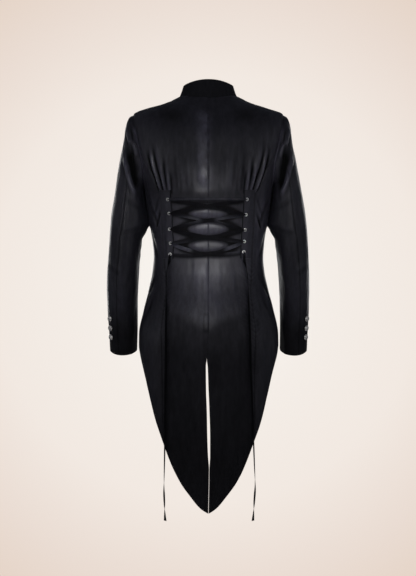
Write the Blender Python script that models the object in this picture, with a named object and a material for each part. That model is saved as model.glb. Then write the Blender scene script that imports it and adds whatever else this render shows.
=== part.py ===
"""A black tailcoat with a laced back, hollow and filled out as it is worn.

Metres, +Z up.  The coat faces -Y.  The origin is the middle of the neck base.
Angles go round the body from the centre back: 0 behind, +90 at the +X side, 180 at the centre front.
A level is the height of a ring of the body where it crosses the side of the coat.
"""
import math
from collections import namedtuple

import bmesh
import bpy
import numpy as np
from mathutils import Matrix, Vector

# Driving sizes of the cloth
CLOTH = 0.0012
TAB_CLOTH = 0.0016
COLLAR_CLOTH = 0.0020
SEAM_GAP = 0.0004
AIR = 0.0003
FRONT_LAP = 0.012
LAP_START = 0.040

# Driving sizes of the trimmings
BUTTON_RADIUS = 0.0075
BUTTON_HEIGHT = 0.0062
SHANK_RADIUS = 0.0025
SHANK_HEIGHT = 0.0024
BUTTON_PROFILE = [(0.94, SHANK_HEIGHT), (1.0, 0.0032), (0.86, 0.0044), (0.45, 0.0058), (0, BUTTON_HEIGHT)]
EYELET_HOLE = 0.0023
EYELET_BARREL = 0.0026
EYELET_FLANGE = 0.0043
EYELET_REACH = 0.0011
EYELET_RIM = 0.0015
EYELET_CREST = 0.0017
TAB_HOLE = 0.0030
LACE_WIDTH = 0.0095
LACE_THICKNESS = 0.0008

# Counts of strips in the cloth grids
SHOULDER_STRIPS = 5
BACK_ARMHOLE_STRIPS = 4
SIDE_STRIPS = 5
FRONT_ARMHOLE_STRIPS = 8
BACK_STRIPS = 8
FRONT_STRIPS = 5
SKIRT_ROWS = 6
COLLAR_STRIPS = 34
TAB_ROWS = 14
UNDER_SLEEVE_FRONT_STRIPS = 2
EYELET_SEGMENTS = 10
BUTTON_SEGMENTS = 12

# Steps and limits of the shaping
ANGLE_STEP = 0.004
LEVEL_STEP = 0.0006
HALVINGS = 40
SHARP_DEGREES = 50
SWING_FADE = 6
SEAT_TURN_STEP = 4
COLLAR_END_ANGLE = 0.006
CUTTER_REACH = 0.006
LACE_STEP = 0.008

# Rings of the body: half width, reach behind and in front, heights behind and in front, squareness
BodyRing = namedtuple("BodyRing", "level half_width back front back_height front_height square")
BODY = [
    BodyRing(0.000, 0.0745, 0.056, 0.060, -0.008, -0.072, 2.00),
    BodyRing(-0.014, 0.1045, 0.068, 0.073, -0.030, -0.090, 2.10),
    BodyRing(-0.030, 0.1510, 0.083, 0.086, -0.058, -0.112, 2.25),
    BodyRing(-0.049, 0.1970, 0.096, 0.099, -0.088, -0.136, 2.40),
    BodyRing(-0.080, 0.2030, 0.102, 0.108, -0.112, -0.152, 2.50),
    BodyRing(-0.120, 0.2000, 0.106, 0.116, -0.138, -0.170, 2.50),
    BodyRing(-0.165, 0.1900, 0.108, 0.123, -0.171, -0.194, 2.45),
    BodyRing(-0.205, 0.1785, 0.108, 0.126, -0.206, -0.216, 2.40),
    BodyRing(-0.243, 0.1690, 0.105, 0.126, -0.243, -0.243, 2.35),
    BodyRing(-0.300, 0.1600, 0.098, 0.119, -0.300, -0.300, 2.30),
    BodyRing(-0.345, 0.1530, 0.090, 0.108, -0.345, -0.345, 2.30),
    BodyRing(-0.389, 0.1461, 0.083, 0.099, -0.389, -0.389, 2.30),
    BodyRing(-0.425, 0.1438, 0.080, 0.096, -0.425, -0.425, 2.30),
    BodyRing(-0.465, 0.1475, 0.083, 0.098, -0.465, -0.465, 2.30),
    BodyRing(-0.501, 0.1545, 0.090, 0.103, -0.501, -0.501, 2.30),
    BodyRing(-0.564, 0.1705, 0.107, 0.112, -0.564, -0.564, 2.30),
    BodyRing(-0.628, 0.1835, 0.120, 0.118, -0.628, -0.628, 2.30),
    BodyRing(-0.670, 0.1840, 0.125, 0.120, -0.670, -0.670, 2.30),
    BodyRing(-0.750, 0.1840, 0.128, 0.121, -0.750, -0.750, 2.30),
    BodyRing(-1.090, 0.1840, 0.128, 0.121, -1.090, -1.090, 2.30),
]

# Heights of the rows of cloth on the back, above the hips
BACK_LEVELS = [-0.138, -0.170, -0.205, -0.240, -0.262, -0.279, -0.296, -0.314, -0.332, -0.3535,
               -0.375, -0.3965, -0.418, -0.445, -0.480, -0.520, -0.560, -0.600, -0.640]

# The armhole: turn round the arm from the shoulder, over the back, under the arm and up the front
ArmholeSpot = namedtuple("ArmholeSpot", "turn angle level")
ARMHOLE = [
    ArmholeSpot(0, 90.0, -0.049),
    ArmholeSpot(20, 76.0, -0.060),
    ArmholeSpot(40, 69.5, -0.082),
    ArmholeSpot(58, 65.5, -0.108),
    ArmholeSpot(75, 64.0, -0.138),
    ArmholeSpot(98, 65.0, -0.172),
    ArmholeSpot(122, 70.0, -0.203),
    ArmholeSpot(150, 79.0, -0.229),
    ArmholeSpot(180, 92.0, -0.243),
    ArmholeSpot(210, 104.0, -0.232),
    ArmholeSpot(235, 112.0, -0.205),
    ArmholeSpot(262, 116.5, -0.168),
    ArmholeSpot(288, 115.5, -0.130),
    ArmholeSpot(312, 111.0, -0.096),
    ArmholeSpot(336, 103.0, -0.066),
    ArmholeSpot(360, 90.0, -0.049),
]
BACK_SEAM_TURN = 75
UNDERARM_TURN = 180
UNDERARM_ANGLE = 92.0
UNDERARM_LEVEL = -0.243

# The seam between back and side back: distance from the centre line
SeamSpot = namedtuple("SeamSpot", "level distance")
PRINCESS_SEAM = [
    SeamSpot(-0.177, 0.163),
    SeamSpot(-0.205, 0.147),
    SeamSpot(-0.239, 0.130),
    SeamSpot(-0.262, 0.121),
    SeamSpot(-0.344, 0.118),
    SeamSpot(-0.424, 0.114),
    SeamSpot(-0.537, 0.1115),
    SeamSpot(-1.090, 0.1110),
]

# The edge of the coat, from the centre front round the hips to the point of the tails
HemSpot = namedtuple("HemSpot", "level angle")
HEM = [
    HemSpot(-0.490, 184.5),
    HemSpot(-0.500, 150.0),
    HemSpot(-0.532, 125.0),
    HemSpot(-0.585, 105.0),
    HemSpot(-0.628, 95.0),
    HemSpot(-0.648, 89.0),
    HemSpot(-0.665, 79.0),
    HemSpot(-0.690, 70.2),
    HemSpot(-0.7345, 60.9),
    HemSpot(-0.794, 51.5),
    HemSpot(-0.854, 42.9),
    HemSpot(-0.883, 38.7),
    HemSpot(-0.944, 29.8),
    HemSpot(-0.974, 24.8),
    HemSpot(-1.005, 18.9),
    HemSpot(-1.035, 11.9),
    HemSpot(-1.066, 4.6),
    HemSpot(-1.081, -0.5),
]

# The vent between the tails: the places across of the left and the right tail's inner edge
VentSpot = namedtuple("VentSpot", "level left right")
VENT = [
    VentSpot(-0.100, 0.0001, -0.0001),
    VentSpot(-0.600, 0.0004, 0.0002),
    VentSpot(-0.688, 0.0045, 0.0038),
    VentSpot(-0.705, 0.0064, 0.0018),
    VentSpot(-0.760, 0.0060, -0.0002),
    VentSpot(-0.820, 0.0040, -0.0028),
    VentSpot(-0.890, 0.0026, -0.0045),
    VentSpot(-0.935, 0.0008, -0.0044),
    VentSpot(-0.965, -0.0014, -0.0026),
    VentSpot(-1.000, -0.0010, -0.0022),
    VentSpot(-1.081, 0.0006, -0.0006),
]

# Rings of the collar: reach and height at the back, the side and the front
CollarRing = namedtuple("CollarRing", "back back_height side side_height front front_height")
COLLAR = [
    CollarRing(0.0555, -0.0065, 0.0740, 0.0016, 0.0595, -0.0700),
    CollarRing(0.0535, 0.0100, 0.0705, 0.0100, 0.0570, -0.0580),
    CollarRing(0.0520, 0.0250, 0.0675, 0.0190, 0.0545, -0.0460),
    CollarRing(0.0510, 0.0385, 0.0650, 0.0275, 0.0525, -0.0350),
]

# Rings of the sleeve below the armhole, on the +X side: four points of each, and the armhole's share
SleeveRing = namedtuple("SleeveRing", "outer outer_height inner inner_height "
                                      "back back_height front front_height armhole_share")
SLEEVE = [
    SleeveRing(0.2065, -0.0555, 0.1712, -0.2460, 0.0625, -0.150, -0.0670, -0.155, 0.75),
    SleeveRing(0.2125, -0.0680, 0.1716, -0.2510, 0.0640, -0.156, -0.0700, -0.162, 0.50),
    SleeveRing(0.2172, -0.0870, 0.1712, -0.2600, 0.0650, -0.168, -0.0720, -0.175, 0.25),
    SleeveRing(0.2218, -0.1190, 0.1702, -0.2740, 0.0660, -0.190, -0.0730, -0.197, 0.10),
    SleeveRing(0.2300, -0.1580, 0.1680, -0.2900, 0.0665, -0.222, -0.0730, -0.228, 0.0),
    SleeveRing(0.2395, -0.2080, 0.1650, -0.3060, 0.0670, -0.256, -0.0710, -0.262, 0.0),
    SleeveRing(0.2490, -0.2640, 0.1612, -0.3230, 0.0670, -0.293, -0.0680, -0.297, 0.0),
    SleeveRing(0.2562, -0.3090, 0.1590, -0.3370, 0.0670, -0.323, -0.0650, -0.325, 0.0),
    SleeveRing(0.2600, -0.3480, 0.1630, -0.3520, 0.0670, -0.350, -0.0630, -0.351, 0.0),
    SleeveRing(0.2622, -0.3780, 0.1745, -0.3760, 0.0665, -0.378, -0.0625, -0.376, 0.0),
    SleeveRing(0.2640, -0.4080, 0.1780, -0.4060, 0.0650, -0.410, -0.0630, -0.403, 0.0),
    SleeveRing(0.2655, -0.4370, 0.1826, -0.4350, 0.0620, -0.441, -0.0645, -0.430, 0.0),
    SleeveRing(0.2669, -0.4690, 0.1858, -0.4680, 0.0580, -0.475, -0.0670, -0.461, 0.0),
    SleeveRing(0.2673, -0.5050, 0.1881, -0.5040, 0.0520, -0.512, -0.0705, -0.495, 0.0),
    SleeveRing(0.2672, -0.5450, 0.1898, -0.5440, 0.0440, -0.553, -0.0755, -0.534, 0.0),
    SleeveRing(0.2665, -0.5860, 0.1906, -0.5850, 0.0355, -0.596, -0.0810, -0.574, 0.0),
    SleeveRing(0.2640, -0.6280, 0.1909, -0.6270, 0.0265, -0.640, -0.0865, -0.615, 0.0),
    SleeveRing(0.2618, -0.6690, 0.1911, -0.6690, 0.0180, -0.684, -0.0920, -0.655, 0.0),
]
SLEEVE_SQUARE = 2.1

# The rows of eyelets: height and place across on each side, and where the lace crosses below
EyeletRow = namedtuple("EyeletRow", "left left_level right right_level crossing_level")
EYELETS = [
    EyeletRow(0.1028, -0.2774, 0.0977, -0.2774, -0.2960),
    EyeletRow(0.0995, -0.3130, 0.0953, -0.3165, -0.3320),
    EyeletRow(0.0984, -0.3530, 0.0930, -0.3550, -0.3750),
    EyeletRow(0.0961, -0.3896, 0.0910, -0.3850, -0.4180),
    EyeletRow(0.0971, -0.4183, 0.0900, -0.4120, None),
]
BAR_SAG = 0.0015
BAR_LIFT = 0.0021

# The eyelet tabs, measured from the line of the eyelets
TAB_TOP_LEVEL = -0.2535
TAB_BOTTOM_LEVEL = -0.4300
TAB_INNER = 0.0085
TAB_OUTER = 0.0205
TAB_INNER_LIFT = 0.0050
TAB_EYELET_LIFT = 0.0044
TAB_OUTER_LIFT = 0.0017
TAB_COLUMNS = [0.2 * TAB_OUTER, 0.6 * TAB_OUTER, TAB_OUTER]
TAB_SLOPE_START = 0.25 * TAB_OUTER
TAB_SLOPE_END = 0.9 * TAB_OUTER

# Large soft folds: lines down the body, their half width and how far they stand out
Fold = namedtuple("Fold", "top_angle top_level bottom_angle bottom_level width height")
FOLDS = [
    Fold(20, -0.62, 12, -1.03, 0.020, 0.0040),
    Fold(33, -0.59, 22, -0.96, 0.018, -0.0035),
    Fold(50, -0.57, 40, -0.84, 0.022, 0.0040),
    Fold(70, -0.53, 66, -0.68, 0.020, 0.0030),
    Fold(-17, -0.60, -11, -1.00, 0.018, 0.0035),
    Fold(-31, -0.62, -24, -0.92, 0.020, -0.0035),
    Fold(-46, -0.56, -38, -0.86, 0.020, 0.0045),
    Fold(-68, -0.52, -64, -0.69, 0.022, 0.0030),
    Fold(118, -0.30, 128, -0.50, 0.020, 0.0030),
    Fold(146, -0.33, 150, -0.48, 0.018, -0.0025),
    Fold(-120, -0.29, -126, -0.50, 0.020, 0.0030),
    Fold(-144, -0.34, -149, -0.47, 0.018, -0.0025),
]
FOLD_RISE = 0.35
FOLD_FADE_START = 0.85
FOLD_FADE_END = 1.3
BULGE_HEIGHT = 0.0020
BULGE_REACH = 0.086
BULGE_TOP_LEVEL = -0.279
BULGE_BOTTOM_LEVEL = -0.440
BULGE_BOTTOM_EDGE = 0.010
BULGE_TOP_EDGE = 0.004
BULGE_FULL_SHARE = 0.4

# The free lace ends: place across, turn of the ribbon about its length, and its width
LaceSpot = namedtuple("LaceSpot", "level place turn width")
LEFT_LACE_END = [
    LaceSpot(-0.4400, 0.1000, 20, 0.0075),
    LaceSpot(-0.4500, 0.1020, 50, 0.0085),
    LaceSpot(-0.4660, 0.1040, 70, 0.0095),
    LaceSpot(-0.4900, 0.1054, 70, 0.0095),
    LaceSpot(-0.5300, 0.1060, 55, 0.0095),
    LaceSpot(-0.5800, 0.1064, 45, 0.0095),
    LaceSpot(-0.6300, 0.1068, 40, 0.0095),
    LaceSpot(-0.6800, 0.1072, 35, 0.0095),
    LaceSpot(-0.7300, 0.1076, 35, 0.0095),
    LaceSpot(-0.7800, 0.1080, 40, 0.0095),
    LaceSpot(-0.8300, 0.1084, 40, 0.0095),
    LaceSpot(-0.8800, 0.1088, 45, 0.0095),
    LaceSpot(-0.9200, 0.1091, 45, 0.0095),
    LaceSpot(-0.9600, 0.1096, 50, 0.0095),
    LaceSpot(-0.9950, 0.1101, 60, 0.0095),
    LaceSpot(-1.0150, 0.1103, 75, 0.0095),
    LaceSpot(-1.0350, 0.1098, 90, 0.0095),
    LaceSpot(-1.0550, 0.1091, 85, 0.0095),
    LaceSpot(-1.0750, 0.1087, 55, 0.0095),
    LaceSpot(-1.1000, 0.1085, 20, 0.0095),
]
RIGHT_LACE_END = [
    LaceSpot(-0.4400, 0.0925, -20, 0.0075),
    LaceSpot(-0.4500, 0.0945, -50, 0.0085),
    LaceSpot(-0.4640, 0.0965, -70, 0.0095),
    LaceSpot(-0.4850, 0.0988, -70, 0.0095),
    LaceSpot(-0.5250, 0.1006, -55, 0.0095),
    LaceSpot(-0.5750, 0.1024, -45, 0.0095),
    LaceSpot(-0.6250, 0.1040, -40, 0.0095),
    LaceSpot(-0.6750, 0.1056, -35, 0.0095),
    LaceSpot(-0.7250, 0.1070, -35, 0.0095),
    LaceSpot(-0.7750, 0.1084, -40, 0.0095),
    LaceSpot(-0.8250, 0.1099, -40, 0.0095),
    LaceSpot(-0.8750, 0.1114, -45, 0.0095),
    LaceSpot(-0.9200, 0.1128, -45, 0.0095),
    LaceSpot(-0.9600, 0.1140, -50, 0.0095),
    LaceSpot(-0.9900, 0.1149, -60, 0.0095),
    LaceSpot(-1.0120, 0.1152, -75, 0.0095),
    LaceSpot(-1.0320, 0.1142, -90, 0.0095),
    LaceSpot(-1.0520, 0.1130, -85, 0.0095),
    LaceSpot(-1.0740, 0.1121, -55, 0.0095),
    LaceSpot(-1.1000, 0.1114, -20, 0.0095),
]
LACE_FREE_LEVEL = -0.760
LACE_CLEARANCE = 0.0034

# Buttons: turn round the sleeve and height on it, and heights down the centre front
CUFF_BUTTON_TURN = 42.0
CUFF_BUTTON_HEIGHTS = [-0.5866, -0.6115, -0.6355]
FRONT_BUTTON_ANGLE = -math.pi + 0.0001
FRONT_BUTTON_LEVELS = [-0.030, -0.120, -0.205, -0.288, -0.370, -0.450]

# Colours and finishes
Finish = namedtuple("Finish", "colour roughness metallic")
CLOTH_FINISH = Finish((0.008, 0.008, 0.011), 0.45, 0.0)
LACE_FINISH = Finish((0.006, 0.006, 0.008), 0.55, 0.0)
METAL_FINISH = Finish((0.55, 0.54, 0.52), 0.30, 1.0)


class SmoothCurve:
    """A smooth curve through given points that never overshoots them."""

    def __init__(self, keys, values):
        order = np.argsort(keys)
        self.keys = np.asarray(keys, dtype=float)[order]
        self.values = np.asarray(values, dtype=float)[order]
        step = np.diff(self.keys)
        slope = np.diff(self.values) / step
        bend = np.zeros_like(self.keys)
        bend[0] = slope[0]
        bend[-1] = slope[-1]
        for spot in range(1, len(self.keys) - 1):
            before = slope[spot - 1]
            after = slope[spot]
            if before * after > 0:
                heavy = 2 * step[spot] + step[spot - 1]
                light = step[spot] + 2 * step[spot - 1]
                bend[spot] = (heavy + light) / (heavy / before + light / after)
        self.bend = bend

    def __call__(self, key):
        key = np.clip(np.asarray(key, dtype=float), self.keys[0], self.keys[-1])
        spot = np.clip(np.searchsorted(self.keys, key) - 1, 0, len(self.keys) - 2)
        width = self.keys[spot + 1] - self.keys[spot]
        share = (key - self.keys[spot]) / width
        rest = 1 - share
        return (self.values[spot] * (1 + 2 * share) * rest ** 2
                + self.values[spot + 1] * (3 - 2 * share) * share ** 2
                + width * self.bend[spot] * share * rest ** 2
                - width * self.bend[spot + 1] * rest * share ** 2)


def table_curve(table, key, value):
    """A smooth curve through two named columns of a table."""
    return SmoothCurve([getattr(row, key) for row in table], [getattr(row, value) for row in table])


HALF_WIDTH = table_curve(BODY, "level", "half_width")
BACK_REACH = table_curve(BODY, "level", "back")
FRONT_REACH = table_curve(BODY, "level", "front")
BACK_HEIGHT = table_curve(BODY, "level", "back_height")
FRONT_HEIGHT = table_curve(BODY, "level", "front_height")
SQUARE = table_curve(BODY, "level", "square")
HEM_ANGLE = table_curve(HEM, "level", "angle")
VENT_LEFT = table_curve(VENT, "level", "left")
VENT_RIGHT = table_curve(VENT, "level", "right")
ARMHOLE_ANGLE = table_curve(ARMHOLE, "turn", "angle")
ARMHOLE_LEVEL = table_curve(ARMHOLE, "turn", "level")


def rounded(wave, power):
    """A sine or cosine wave made squarer, with its sign."""
    return np.sign(wave) * np.abs(wave) ** power


def plain_body(angle, level):
    """Points on the middle of the cloth, without folds."""
    sine = np.sin(angle)
    cosine = np.cos(angle)
    power = 2 / SQUARE(level)
    behind = cosine > 0
    reach = np.where(behind, BACK_REACH(level), FRONT_REACH(level))
    height = np.where(behind, BACK_HEIGHT(level), FRONT_HEIGHT(level))
    lean = cosine ** 2
    return np.stack([HALF_WIDTH(level) * rounded(sine, power),
                     reach * rounded(cosine, power),
                     level * (1 - lean) + height * lean], axis=-1)


def normals_of(surface, first, second, first_step, second_step):
    """Outward directions of a surface that is given by a function of two values."""
    along_first = surface(first + first_step, second) - surface(first - first_step, second)
    along_second = surface(first, second + second_step) - surface(first, second - second_step)
    normal = np.cross(along_second, along_first)
    return normal / np.linalg.norm(normal, axis=-1, keepdims=True)


def body_normal(angle, level):
    """Outward directions of the body."""
    return normals_of(plain_body, angle, level, ANGLE_STEP, LEVEL_STEP)


def smooth_step(value, start, end):
    """Zero before start, one after end, and smooth between."""
    share = np.clip((value - start) / (end - start), 0, 1)
    return share * share * (3 - 2 * share)


def angle_at(distance, level):
    """The angle where the back of a ring is this far across from the centre line."""
    share = np.clip(np.abs(distance) / HALF_WIDTH(level), 0, 1)
    return np.sign(distance) * np.arcsin(share ** (SQUARE(level) / 2))


def fold_relief(angle, level):
    """How far the large folds stand out."""
    relief = np.zeros(np.broadcast(angle, level).shape)
    for fold in FOLDS:
        along = np.clip((level - fold.top_level) / (fold.bottom_level - fold.top_level), -1, 2)
        line = np.radians(fold.top_angle + (fold.bottom_angle - fold.top_angle) * along)
        across = (angle - line) * BACK_REACH(level)
        window = smooth_step(along, 0, FOLD_RISE)
        window = window * (1 - smooth_step(along, FOLD_FADE_START, FOLD_FADE_END))
        relief = relief + fold.height * window * np.exp(-(across / fold.width) ** 2)
    return relief


def bulge_relief(angle, level):
    """The cloth bulges between the crossings of the lace and is pressed in under them."""
    crossings = [BULGE_TOP_LEVEL] + [row.crossing_level for row in EYELETS if row.crossing_level]
    crossings.append(BULGE_BOTTOM_LEVEL)
    counts = np.arange(len(crossings), dtype=float)
    phase = SmoothCurve(crossings, counts)(level)
    inside = smooth_step(level, BULGE_BOTTOM_LEVEL, BULGE_BOTTOM_LEVEL + BULGE_BOTTOM_EDGE)
    inside = inside * (1 - smooth_step(level, BULGE_TOP_LEVEL - BULGE_TOP_EDGE,
                                       BULGE_TOP_LEVEL + BULGE_TOP_EDGE))
    distance = np.abs(plain_body(angle, level)[..., 0])
    inside = inside * (1 - smooth_step(distance, BULGE_FULL_SHARE * BULGE_REACH, BULGE_REACH))
    inside = inside * (np.cos(angle) > 0)
    return BULGE_HEIGHT * inside * np.sin(np.pi * phase) ** 2


def lap_relief(angle, level):
    """The right front lies over the left one at the centre front."""
    distance = plain_body(angle, level)[..., 0]
    lifted = smooth_step(distance, -LAP_START, -LAP_START / 2)
    return (CLOTH + AIR) * lifted * (np.cos(angle) < 0) * (angle < 0)


def body(angle, level):
    """Points on the middle of the cloth, folds and all."""
    angle = np.asarray(angle, dtype=float)
    level = np.asarray(level, dtype=float)
    relief = fold_relief(angle, level) + bulge_relief(angle, level) + lap_relief(angle, level)
    return plain_body(angle, level) + body_normal(angle, level) * relief[..., None]


def armhole(turn):
    """The angle and level of a point of the armhole."""
    return np.radians(ARMHOLE_ANGLE(turn)), ARMHOLE_LEVEL(turn)


def princess_curve():
    """The angle of the seam between back and side back, at any level."""
    start_angle, start_level = armhole(BACK_SEAM_TURN)
    levels = [float(start_level)] + [spot.level for spot in PRINCESS_SEAM]
    angles = [float(start_angle)]
    for spot in PRINCESS_SEAM:
        angles.append(float(angle_at(spot.distance, spot.level)))
    return SmoothCurve(levels, angles)


PRINCESS_ANGLE = princess_curve()
SIDE_SEAM_ANGLE = math.radians(UNDERARM_ANGLE)


def hem_level(column_angle):
    """The level where a column of cloth meets the edge of the coat."""
    low = HEM[-1].level
    high = HEM[0].level
    for _ in range(HALVINGS):
        middle = (low + high) / 2
        if math.radians(float(HEM_ANGLE(middle))) > column_angle(middle):
            high = middle
        else:
            low = middle
    return (low + high) / 2


def mix(first, second, share):
    """A value between two others, by a share of the way from the first to the second."""
    return first * (1 - share) + second * share


def clear_scene():
    """Remove every object that the new file came with."""
    for thing in list(bpy.data.objects):
        bpy.data.objects.remove(thing, do_unlink=True)


def make_material(name, finish):
    """A plain material with one finish."""
    material = bpy.data.materials.new(name)
    material.use_nodes = True
    shader = material.node_tree.nodes["Principled BSDF"]
    shader.inputs["Base Color"].default_value = (*finish.colour, 1.0)
    shader.inputs["Roughness"].default_value = finish.roughness
    shader.inputs["Metallic"].default_value = finish.metallic
    return material


def add_mesh(name, vertices, faces, finish):
    """One named object from points and faces, shaded smooth with sharp rims."""
    mesh = bpy.data.meshes.new(name)
    mesh.from_pydata([tuple(map(float, vertex)) for vertex in vertices], [], faces)
    mesh.validate()
    mesh.shade_smooth()
    mesh.set_sharp_from_angle(angle=math.radians(SHARP_DEGREES))
    thing = bpy.data.objects.new(name, mesh)
    bpy.context.scene.collection.objects.link(thing)
    mesh.materials.append(make_material(name, finish))
    return thing


def pull_in(points, gap, sides):
    """Move the named borders of a grid of points inwards by half a seam gap."""
    moved = points.copy()
    borders = {"top": ((0, slice(None)), (1, slice(None))),
               "bottom": ((-1, slice(None)), (-2, slice(None))),
               "start": ((slice(None), 0), (slice(None), 1)),
               "end": ((slice(None), -1), (slice(None), -2))}
    for side in sides:
        border, neighbour = borders[side]
        inward = points[neighbour] - points[border]
        inward = inward / np.linalg.norm(inward, axis=-1, keepdims=True)
        moved[border] = moved[border] + inward * gap / 2
    return moved


def cloth_wall(name, points, normals, thickness, finish, sides=("top", "bottom", "start", "end")):
    """A closed wall of even thickness on a grid of points, outer face towards the normals."""
    points = pull_in(points, SEAM_GAP, sides)
    rows, columns = points.shape[:2]
    outer = (points + normals * thickness / 2).reshape(-1, 3)
    inner = (points - normals * thickness / 2).reshape(-1, 3)
    vertices = np.concatenate([outer, inner])
    shift = rows * columns

    def spot(row, column):
        return row * columns + column

    faces = []
    for row in range(rows - 1):
        for column in range(columns - 1):
            quad = (spot(row, column), spot(row + 1, column),
                    spot(row + 1, column + 1), spot(row, column + 1))
            faces.append(quad)
            faces.append(tuple(index + shift for index in reversed(quad)))
    rim = [spot(0, column) for column in range(columns)]
    rim += [spot(row, columns - 1) for row in range(1, rows)]
    rim += [spot(rows - 1, column) for column in range(columns - 2, -1, -1)]
    rim += [spot(row, 0) for row in range(rows - 2, 0, -1)]
    for first, second in zip(rim, rim[1:] + rim[:1]):
        faces.append((first, second, second + shift, first + shift))
    thing = add_mesh(name, vertices, faces, finish)
    face_outwards(thing.data)
    return thing


def face_outwards(mesh):
    """Turn the faces of a closed mesh outwards."""
    shell = bmesh.new()
    shell.from_mesh(mesh)
    bmesh.ops.recalc_face_normals(shell, faces=shell.faces)
    if shell.calc_volume(signed=True) < 0:
        bmesh.ops.reverse_faces(shell, faces=shell.faces)
    shell.to_mesh(mesh)
    shell.free()


def princess_levels():
    """Heights of the rows down the seam between back and side back."""
    return column_levels(lambda level: float(PRINCESS_ANGLE(level)))


def column_levels(column_angle):
    """Heights of the rows in a column of the back: fixed above the hips, then even to the edge."""
    end = hem_level(column_angle)
    skirt = [mix(BACK_LEVELS[-1], end, row / SKIRT_ROWS) for row in range(1, SKIRT_ROWS + 1)]
    return BACK_LEVELS + skirt


def make_back(name, side):
    """Half of the back, from the centre seam to the shoulder, armhole and princess seam."""
    vent = VENT_LEFT if side > 0 else VENT_RIGHT
    columns = []
    for strip in range(BACK_STRIPS + 1):
        share = strip / BACK_STRIPS

        def column_angle(level):
            start = side * float(angle_at(vent(level), level))
            return mix(start, float(PRINCESS_ANGLE(level)), share)

        column = []
        for row in range(SHOULDER_STRIPS):
            level = mix(BODY[0].level, ARMHOLE[0].level, row / SHOULDER_STRIPS)
            column.append((share * math.radians(ARMHOLE[0].angle), level))
        for row in range(BACK_ARMHOLE_STRIPS):
            edge_angle, level = armhole(BACK_SEAM_TURN * row / BACK_ARMHOLE_STRIPS)
            column.append((share * float(edge_angle), float(level)))
        for level in column_levels(column_angle):
            column.append((column_angle(level), level))
        columns.append(column)
    return body_panel(name, columns, side)


def make_side_back(name, side):
    """The panel between princess seam and side seam, under the armhole."""
    seam_levels = princess_levels()
    top = seam_levels[0]
    bottom = seam_levels[-1]
    columns = []
    for strip in range(SIDE_STRIPS + 1):
        share = strip / SIDE_STRIPS
        turn = mix(BACK_SEAM_TURN, UNDERARM_TURN, share)
        top_angle, top_level = armhole(turn)

        def straight(level):
            return mix(float(PRINCESS_ANGLE(level)), SIDE_SEAM_ANGLE, share)

        swing = float(top_angle) - straight(float(top_level))
        end = hem_level(straight)
        column = []
        for level in seam_levels:
            down = (level - top) / (bottom - top)
            height = mix(float(top_level), end, down)
            column.append((straight(height) + swing * (1 - down) ** SWING_FADE, height))
        columns.append(column)
    return body_panel(name, columns, side)


def front_column_angle(edge_angle, level, strip):
    """The angle of a column of the front: even strips to the lap, then the centre and past it."""
    lap = float(angle_at(FRONT_LAP, level))
    if strip <= FRONT_STRIPS:
        return mix(edge_angle, math.pi - lap, strip / FRONT_STRIPS)
    return math.pi + lap * (strip - FRONT_STRIPS - 1)


def make_front(name, side):
    """Half of the front, from shoulder, armhole and side seam to past the centre front."""
    seam_levels = princess_levels()
    top = seam_levels[0]
    bottom = seam_levels[-1]
    shoulder_angle = math.radians(ARMHOLE[0].angle)
    columns = []
    for strip in range(FRONT_STRIPS + 3):
        column = []
        for row in range(SHOULDER_STRIPS):
            level = mix(BODY[0].level, ARMHOLE[0].level, row / SHOULDER_STRIPS)
            column.append((front_column_angle(shoulder_angle, level, strip), level))
        for row in range(FRONT_ARMHOLE_STRIPS):
            turn = mix(360, UNDERARM_TURN, row / FRONT_ARMHOLE_STRIPS)
            edge_angle, level = armhole(turn)
            column.append((front_column_angle(float(edge_angle), float(level), strip), float(level)))
        end = hem_level(lambda level: front_column_angle(SIDE_SEAM_ANGLE, level, strip))
        for level in seam_levels:
            down = (level - top) / (bottom - top)
            height = mix(UNDERARM_LEVEL, end, down)
            column.append((front_column_angle(SIDE_SEAM_ANGLE, height, strip), height))
        columns.append(column)
    return body_panel(name, columns, side)


def body_panel(name, columns, side):
    """A wall of cloth on the body from columns of angles and levels."""
    grid = np.array(columns).transpose(1, 0, 2)
    angles = grid[..., 0] * side
    levels = grid[..., 1]
    return cloth_wall(name, body(angles, levels), body_normal(angles, levels), CLOTH, CLOTH_FINISH)


def four_point_ring(outer, back, inner, front, turn, square):
    """Points round a ring through four given points; turn 0 is outer and 90 degrees is back."""
    middle = (outer + back + inner + front) / 4
    across = rounded(np.cos(turn), 2 / square)[..., None]
    along = rounded(np.sin(turn), 2 / square)[..., None]
    point = middle + np.maximum(across, 0) * (outer - middle) + np.maximum(-across, 0) * (inner - middle)
    return point + np.maximum(along, 0) * (back - middle) + np.maximum(-along, 0) * (front - middle)


def armhole_turns():
    """The turns of the points of the armhole that body and sleeve share, once round."""
    turns = [BACK_SEAM_TURN * step / BACK_ARMHOLE_STRIPS for step in range(BACK_ARMHOLE_STRIPS)]
    turns += [mix(BACK_SEAM_TURN, UNDERARM_TURN, step / SIDE_STRIPS) for step in range(SIDE_STRIPS)]
    turns += [mix(UNDERARM_TURN, 360, step / FRONT_ARMHOLE_STRIPS)
              for step in range(FRONT_ARMHOLE_STRIPS)]
    return turns


def armhole_points(turns):
    """The sleeve's top edge: the armhole moved out along X until the walls clear each other."""
    angles, levels = armhole(np.array(turns))
    normals = body_normal(angles, levels)
    points = body(angles, levels)
    points[:, 0] += AIR + CLOTH * np.abs(normals[:, 0])
    return points


def sleeve_corners(ring):
    """The four points of a sleeve ring, in space."""
    middle = (ring.back + ring.front) / 2
    centre = (ring.outer + ring.inner) / 2
    return (np.array([ring.outer, middle, ring.outer_height]),
            np.array([centre, ring.back, ring.back_height]),
            np.array([ring.inner, middle, ring.inner_height]),
            np.array([centre, ring.front, ring.front_height]))


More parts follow.
